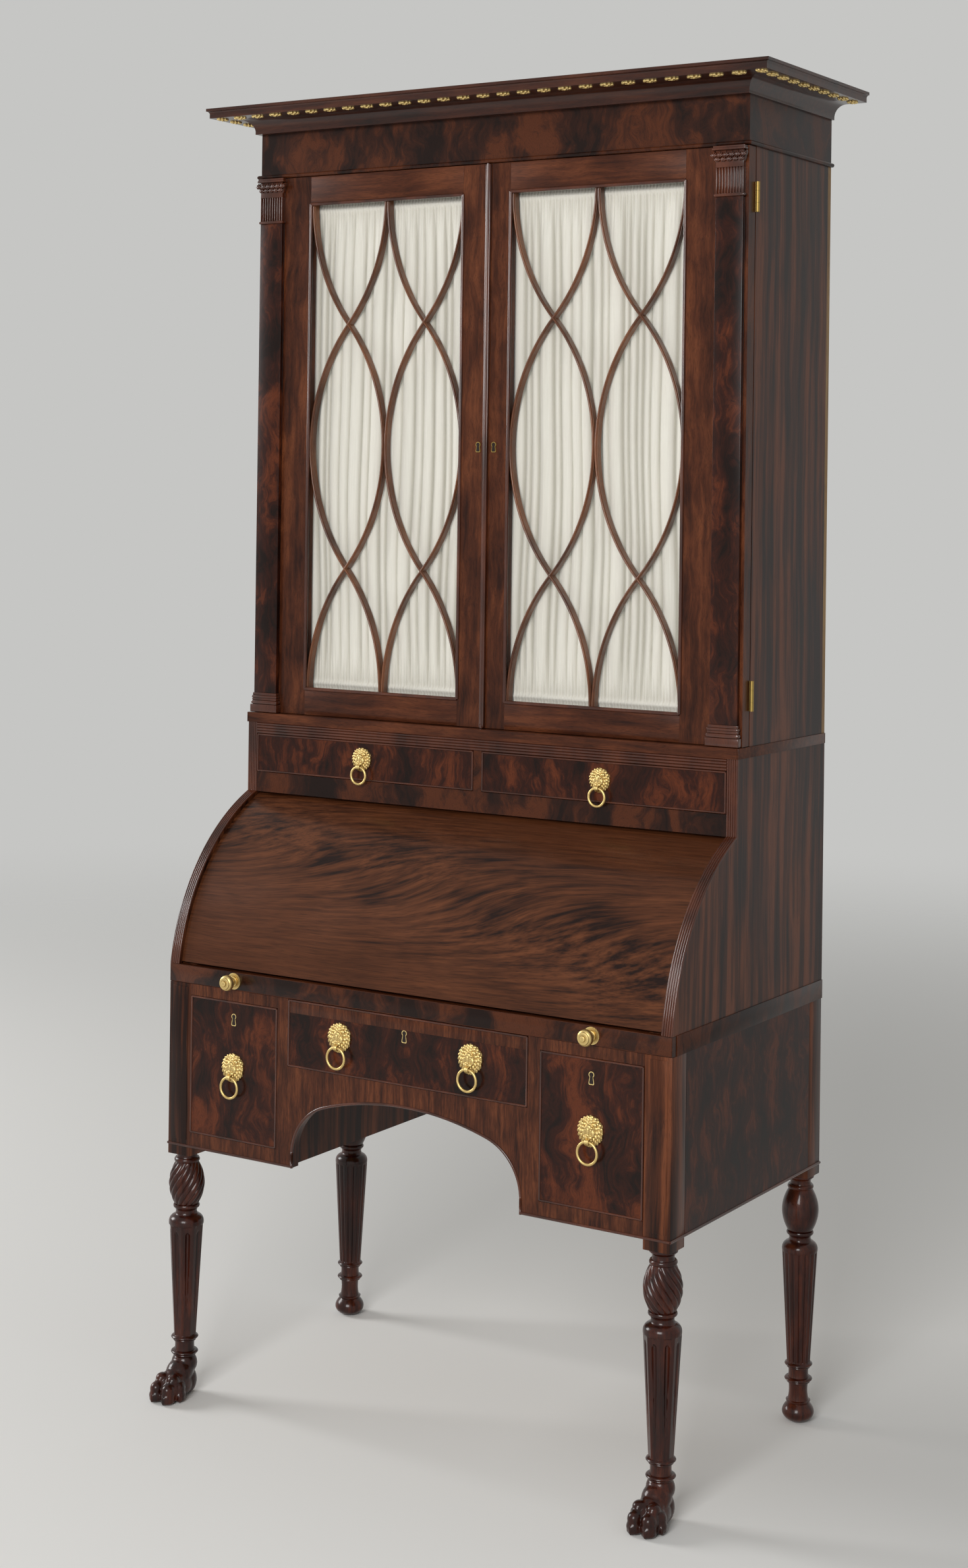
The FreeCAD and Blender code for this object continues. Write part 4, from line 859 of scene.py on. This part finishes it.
for side in ("left", "right"):
    node = side + "_pilaster"
    door = side + "_door"
    low, high = span(node)
    x0, x1 = low.x + MOULDING_OUT, high.x - MOULDING_OUT
    face = low.y + MOULDING_OUT
    back = high.y
    neck = high.z - NECK_DROP
    abacus = high.z - ABACUS_H
    lip = high.z - ABACUS_LIP
    leaf_foot = abacus - LEAF_H
    band = leaf_foot - NECK_BAND_H
    shaft = bmesh.new()
    board(shaft, (x0, face, low.z), (x1, back, neck), 0.8)
    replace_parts(piece(node + "_shaft", shaft, flame_mahogany, door), node)
    trim = bmesh.new()
    courses = [(low.z + foot, low.z + head, out, soft) for foot, head, out, soft in BASE_MOULDINGS]
    courses += [(abacus, lip, MOULDING_OUT, 1.4), (lip, high.z, MOULDING_OUT - ABACUS_STEP, 0.5),
                (neck, neck + NECK_BEAD_H, NECK_BEAD_OUT, 2.4), (band, abacus, 0, 0.4)]
    for foot, head, out, soft in courses:
        board(trim, (x0 - out, face - out, foot), (x1 + out, back, head), soft)
    board(trim, (x0, face + FLUTE_CUT, neck), (x1, back, band), 0.2)
    pitch = (x1 - x0 - FILLET_W) / (FILLETS - 1)
    for i in range(FILLETS):
        x = x0 + pitch * i
        board(trim, (x, face, neck), (x + FILLET_W, face + FLUTE_CUT + 1, band), 0.5)
    piece(node + "_mouldings", trim, moulding_mahogany, door)
    carving = bmesh.new()
    leaf_w = (x1 - x0 + 2 * LEAF_OVERHANG) / LEAVES
    for more, rise, out, shift in LEAF_ROWS:
        for i in range(LEAVES + more):
            x = x0 - LEAF_OVERHANG + leaf_w * (i + shift)
            for fan in (-2, -1, 0, 1, 2):
                lean = math.radians(LOBE_FAN * fan)
                reach = LOBE_REACH - abs(fan)
                tip = (x + reach * math.sin(lean), face - out - LOBE_CURL * reach,
                       leaf_foot + rise + reach * math.cos(lean))
                size = (leaf_w * LOBE_SIZE[0], LOBE_SIZE[1], LOBE_SIZE[2] - LOBE_SHRINK * abs(fan))
                blob(carving, tip, size, (LOBE_TILT, LOBE_FAN * fan, 0), 2)
    for end, outward in ((x0, -1), (x1, 1)):
        for rise, out in SIDE_LEAVES:
            blob(carving, (end + outward * out, (face + back) / 2, leaf_foot + rise), SIDE_LEAF,
                 (0, outward * SIDE_LEAF_LEAN, 0))
    piece(node + "_capital", carving, moulding_mahogany, door, 60)


# Glazing: in each door one pane lies in a rebate behind interlaced bars of moulded mahogany. The bars
# are arcs of one radius that cross between four points on each upright line.

BARS = ("#4d2a18", "#673d25", "#7d4d30")
BAR_HALF = 2.75
BAR_COLUMNS = 2
BAR_PROFILE = [(-2.75, 15.5), (-2.75, 3.4), (-1.9, 3.2), (-1.9, 2.2), (-1.4, 0.6), (0, 0), (1.4, 0.6),
               (1.9, 2.2), (1.9, 3.2), (2.75, 3.4), (2.75, 15.5)]
BAR_STEPS = 22

clear_glass, glass_tree, glass_shader = blank("glass_window")
feed(glass_tree, glass_shader, {"Base Color": linear("#dfe6e2"), "Roughness": 0.03, "IOR": 1.5,
                                "Alpha": 0.06})
dress(clear_glass, "left_pane", "right_pane")
bar_mahogany = polished_wood("mahogany_glazing_bars", BARS, grain="Z", streak=9, cloud=50, swirl=(120, 6),
                             broad=0.9, polish=0.6)
quarter = (sight_high - sight_low) / 4
for side in ("left", "right"):
    node = side + "_glazing_bars"
    bars = bmesh.new()
    bar_front = span(node)[0].y
    x0, x1 = sight_edges(side)
    column = (x1 - x0) / BAR_COLUMNS
    swing = column / 2 - BAR_HALF
    bar_r = (quarter ** 2 + swing ** 2) / (2 * swing)
    bar_turn = math.asin(quarter / bar_r)
    for c in range(BAR_COLUMNS):
        for way in (-1, 1):
            centre = x0 + (c + 0.5) * column + way * (swing - bar_r)
            for level, rise in ((0, 1), (2, -1), (2, 1), (4, -1)):
                z = sight_low + level * quarter
                strip = [bars.verts.new((centre + way * (bar_r + off), bar_front + depth, z))
                         for off, depth in BAR_PROFILE]
                edges = [bars.edges.new(ends) for ends in zip(strip, strip[1:])]
                bmesh.ops.spin(bars, geom=strip + edges, cent=(centre, 0, z), axis=(0, 1, 0), dvec=(0, 0, 0),
                               angle=-way * rise * bar_turn, steps=BAR_STEPS, use_merge=False,
                               use_duplicate=False)
    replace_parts(piece(node + "_moulded", bars, bar_mahogany, side + "_door", 50), node)


# Curtains: cream silk, gathered on a brass rod at the top and the foot of each door behind the glass.
# The cloth is one and a half times as wide as its opening, with a frill beyond each rod, and the hollows
# of its folds are painted darker as shade, the more the further back they lie from the glass.

SILK = ("#dad4c6", "#f0ece2")
SILK_PAINTED_SHADE = "#98907c"
SILK_T = 0.35
SLUB_W = 2
SLUB_SLIMNESS = 0.03
PAINTED_SHADE_DEPTHS = (0.5, 8.5)
FOLD_W = (11, 30)
FOLD_DEPTH = (3.0, 0.25)
FOLD_SKEW = (0.55, 1.7)
WANDER = ((900, 4.0), (410, 1.5))
WANDER_DRIFT = 90
PLEATS = ((6.3, 0.7), (4.1, 0.4))
PLEAT_HEIGHT = 2.2
PLEAT_FADE = 110
PLEAT_OUT = 5
FRILL_HEIGHT = 2.4
FRILL_OVER = 5
HOLLOW_BACK = 3.5
ROD_INSET = 10
ROD_PINCH = 4.5
ROD_BACK = 0.7
ROD_PLEAT = 0.25
CLOTH_FRONT = 0.4
CLOTH_BACK = 4
FULL_TURN = 6.28
CURTAIN_STEPS = (330, 110)
ROW_CROWDING = 0.86

silk, silk_tree, silk_shader = blank("silk_cream_painted_shade")
silk_place = add(silk_tree, "ShaderNodeTexCoord", {}).outputs["Object"]
slub = add(silk_tree, "ShaderNodeVectorMath", {0: silk_place, 1: (1.0, 0.0, SLUB_SLIMNESS)},
           operation="MULTIPLY")
threads = add(silk_tree, "ShaderNodeTexNoise", {"Vector": slub.outputs[0], "Scale": 1 / (SLUB_W * MM),
                                                "Detail": 3.0})
silk_tint = add(silk_tree, "ShaderNodeMix", {0: threads.outputs["Fac"], 6: linear(SILK[0]),
                                             7: linear(SILK[1])}, data_type="RGBA")
# Painted shade: the cloth is coloured darker the further back from the glass it lies, in the hollows of its
# folds.
depth = add(silk_tree, "ShaderNodeSeparateXYZ", {0: silk_place})
shaded = add(silk_tree, "ShaderNodeMapRange", {"Value": depth.outputs["Y"], "From Min": PAINTED_SHADE_DEPTHS[0] * MM,
                                               "From Max": PAINTED_SHADE_DEPTHS[1] * MM})
silk_tone_and_shade = add(silk_tree, "ShaderNodeMix", {0: shaded.outputs[0], 6: silk_tint.outputs[2],
                                             7: linear(SILK_PAINTED_SHADE)}, data_type="RGBA")
feed(silk_tree, silk_shader, {"Base Color": silk_tone_and_shade.outputs[2], "Roughness": 0.6, "Sheen Weight": 0.2})

for side, seed in (("left", 6), ("right", 8)):
    node = side + "_curtain"
    low, high = span(node)
    chance = random.Random(seed)
    valleys = [low.x - 2 * FOLD_W[1]]
    while valleys[-1] < high.x + FOLD_W[1]:
        valleys.append(valleys[-1] + chance.uniform(*FOLD_W))
    skews = [chance.uniform(*FOLD_SKEW) for _ in valleys]
    sway = [(2 * math.pi / length, reach, chance.uniform(0, FULL_TURN)) for length, reach in WANDER]
    pleats = [(2 * math.pi / length, height, chance.uniform(0, FULL_TURN)) for length, height in PLEATS]
    cloth = bmesh.new()
    bmesh.ops.create_grid(cloth, x_segments=CURTAIN_STEPS[0], y_segments=CURTAIN_STEPS[1], size=0.5)
    for point in cloth.verts:
        x = low.x + (point.co.x + 0.5) * (high.x - low.x)
        level = point.co.y + 0.5
        level -= ROW_CROWDING * math.sin(2 * math.pi * level) / (2 * math.pi)
        z = sight_low - FRILL_OVER + level * (sight_high - sight_low + 2 * FRILL_OVER)
        inward = min(z - sight_low, sight_high - z) - ROD_INSET
        pinch = math.exp(-(inward / ROD_PINCH) ** 2)
        gather = max(0, 1 - inward / PLEAT_FADE) ** 2 if inward > 0 else 1
        along = x + sum(reach * math.sin(rate * z + phase + x / WANDER_DRIFT) for rate, reach, phase in sway)
        i = bisect.bisect(valleys, along)
        width = valleys[i] - valleys[i - 1]
        across = ((along - valleys[i - 1]) / width) ** skews[i]
        bulge = (FOLD_DEPTH[0] + FOLD_DEPTH[1] * width) * math.sin(math.pi * across) ** 0.5
        pleat = sum(height * math.sin(rate * x + phase) for rate, height, phase in pleats)
        height = PLEAT_HEIGHT if inward > 0 else FRILL_HEIGHT
        y = high.y + HOLLOW_BACK - (1 - gather) * bulge + gather * (height * pleat - PLEAT_OUT)
        y += pinch * (low.y + ROD_BACK + ROD_PLEAT * pleat - y)
        point.co = (x, min(max(y, low.y + CLOTH_FRONT), high.y + CLOTH_BACK), z)
    hung = piece(side + "_silk_curtain", cloth, silk, side + "_door", 180)
    weight = hung.modifiers.new("cloth", "SOLIDIFY")
    weight.thickness = SILK_T * MM
    weight.offset = 0
    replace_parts(hung, node)


# Studio: pale paper that sweeps from the floor into the backdrop without an edge, one broad lamp on the
# left, one high in front, and the camera where the photographer's stood.

PAPER = "#ecebe8"
FLOOR_FADE = (2.2, 7.0)
SKY = "#c6c6c4"
SKY_LIGHT = 0.48
LAMPS = (("left_lamp", (-6.0, -1.2, 3.0), 205, 2.4), ("front_lamp", (1.4, -5.6, 3.2), 235, 2.6))
LAMP_AIM = (0, 0, 1.1)
PHOTO_H = 2380
FOCAL_PX = 3670.06
HORIZON_ROW = 720.0
SENSOR = 36.0
CAMERA_PLACE = (2.2511, -3.56305, 1.5995)
CAMERA_TURN = 32.494
CAMERA_TIP = 90.367
CAMERA_ROLL = 0.743

paper, paper_tree, paper_shader = blank("backdrop_paper")
spot = add(paper_tree, "ShaderNodeTexCoord", {}).outputs["Object"]
away = add(paper_tree, "ShaderNodeVectorMath", {0: spot}, operation="LENGTH")
fade = add(paper_tree, "ShaderNodeMapRange", {"Value": away.outputs["Value"], "From Min": FLOOR_FADE[0],
                                              "From Max": FLOOR_FADE[1], "To Min": 1.0, "To Max": 0.0},
           interpolation_type="SMOOTHSTEP")
feed(paper_tree, paper_shader, {"Base Color": linear(PAPER), "Roughness": 0.9, "Alpha": fade.outputs[0]})
floor_mesh = bmesh.new()
bmesh.ops.create_circle(floor_mesh, cap_ends=True, segments=96, radius=FLOOR_FADE[1])
floor_data = bpy.data.meshes.new("studio_floor")
floor_mesh.to_mesh(floor_data)
floor_mesh.free()
floor_data.materials.append(paper)
floor = bpy.data.objects.new("studio_floor", floor_data)
bpy.context.collection.objects.link(floor)

world = bpy.data.worlds.new("studio")
bpy.context.scene.world = world
world.use_nodes = True
sky = world.node_tree
rays = add(sky, "ShaderNodeLightPath", {}).outputs
mirrored = add(sky, "ShaderNodeMath", {0: rays["Is Camera Ray"], 1: rays["Is Glossy Ray"]}, operation="ADD")
seen = add(sky, "ShaderNodeMath", {0: mirrored.outputs[0], 1: rays["Is Transmission Ray"]}, operation="ADD",
           use_clamp=True)
strength = add(sky, "ShaderNodeMapRange", {"Value": seen.outputs[0], "To Min": SKY_LIGHT, "To Max": 1.0})
feed(sky, sky.nodes["Background"], {"Color": linear(SKY), "Strength": strength.outputs[0]})

for name, place, power, width in LAMPS:
    lamp = bpy.data.lights.new(name, "AREA")
    lamp.energy = power
    lamp.size = width
    holder = bpy.data.objects.new(name, lamp)
    holder.location = place
    holder.rotation_euler = (Vector(LAMP_AIM) - Vector(place)).to_track_quat("-Z", "Y").to_euler()
    bpy.context.collection.objects.link(holder)

camera_data = bpy.data.cameras.new("camera")
camera_data.sensor_width = SENSOR
camera_data.lens = FOCAL_PX * SENSOR / PHOTO_H
camera_data.shift_y = (HORIZON_ROW - PHOTO_H / 2) / PHOTO_H
camera = bpy.data.objects.new("camera", camera_data)
turn = Matrix.Rotation(math.radians(CAMERA_TURN), 4, "Z")
tip = Matrix.Rotation(math.radians(CAMERA_TIP), 4, "X")
roll = Matrix.Rotation(math.radians(CAMERA_ROLL), 4, "Z")
camera.matrix_world = Matrix.Translation(CAMERA_PLACE) @ turn @ tip @ roll
bpy.context.collection.objects.link(camera)
bpy.context.scene.camera = camera
bpy.context.scene.view_settings.view_transform = "Standard"
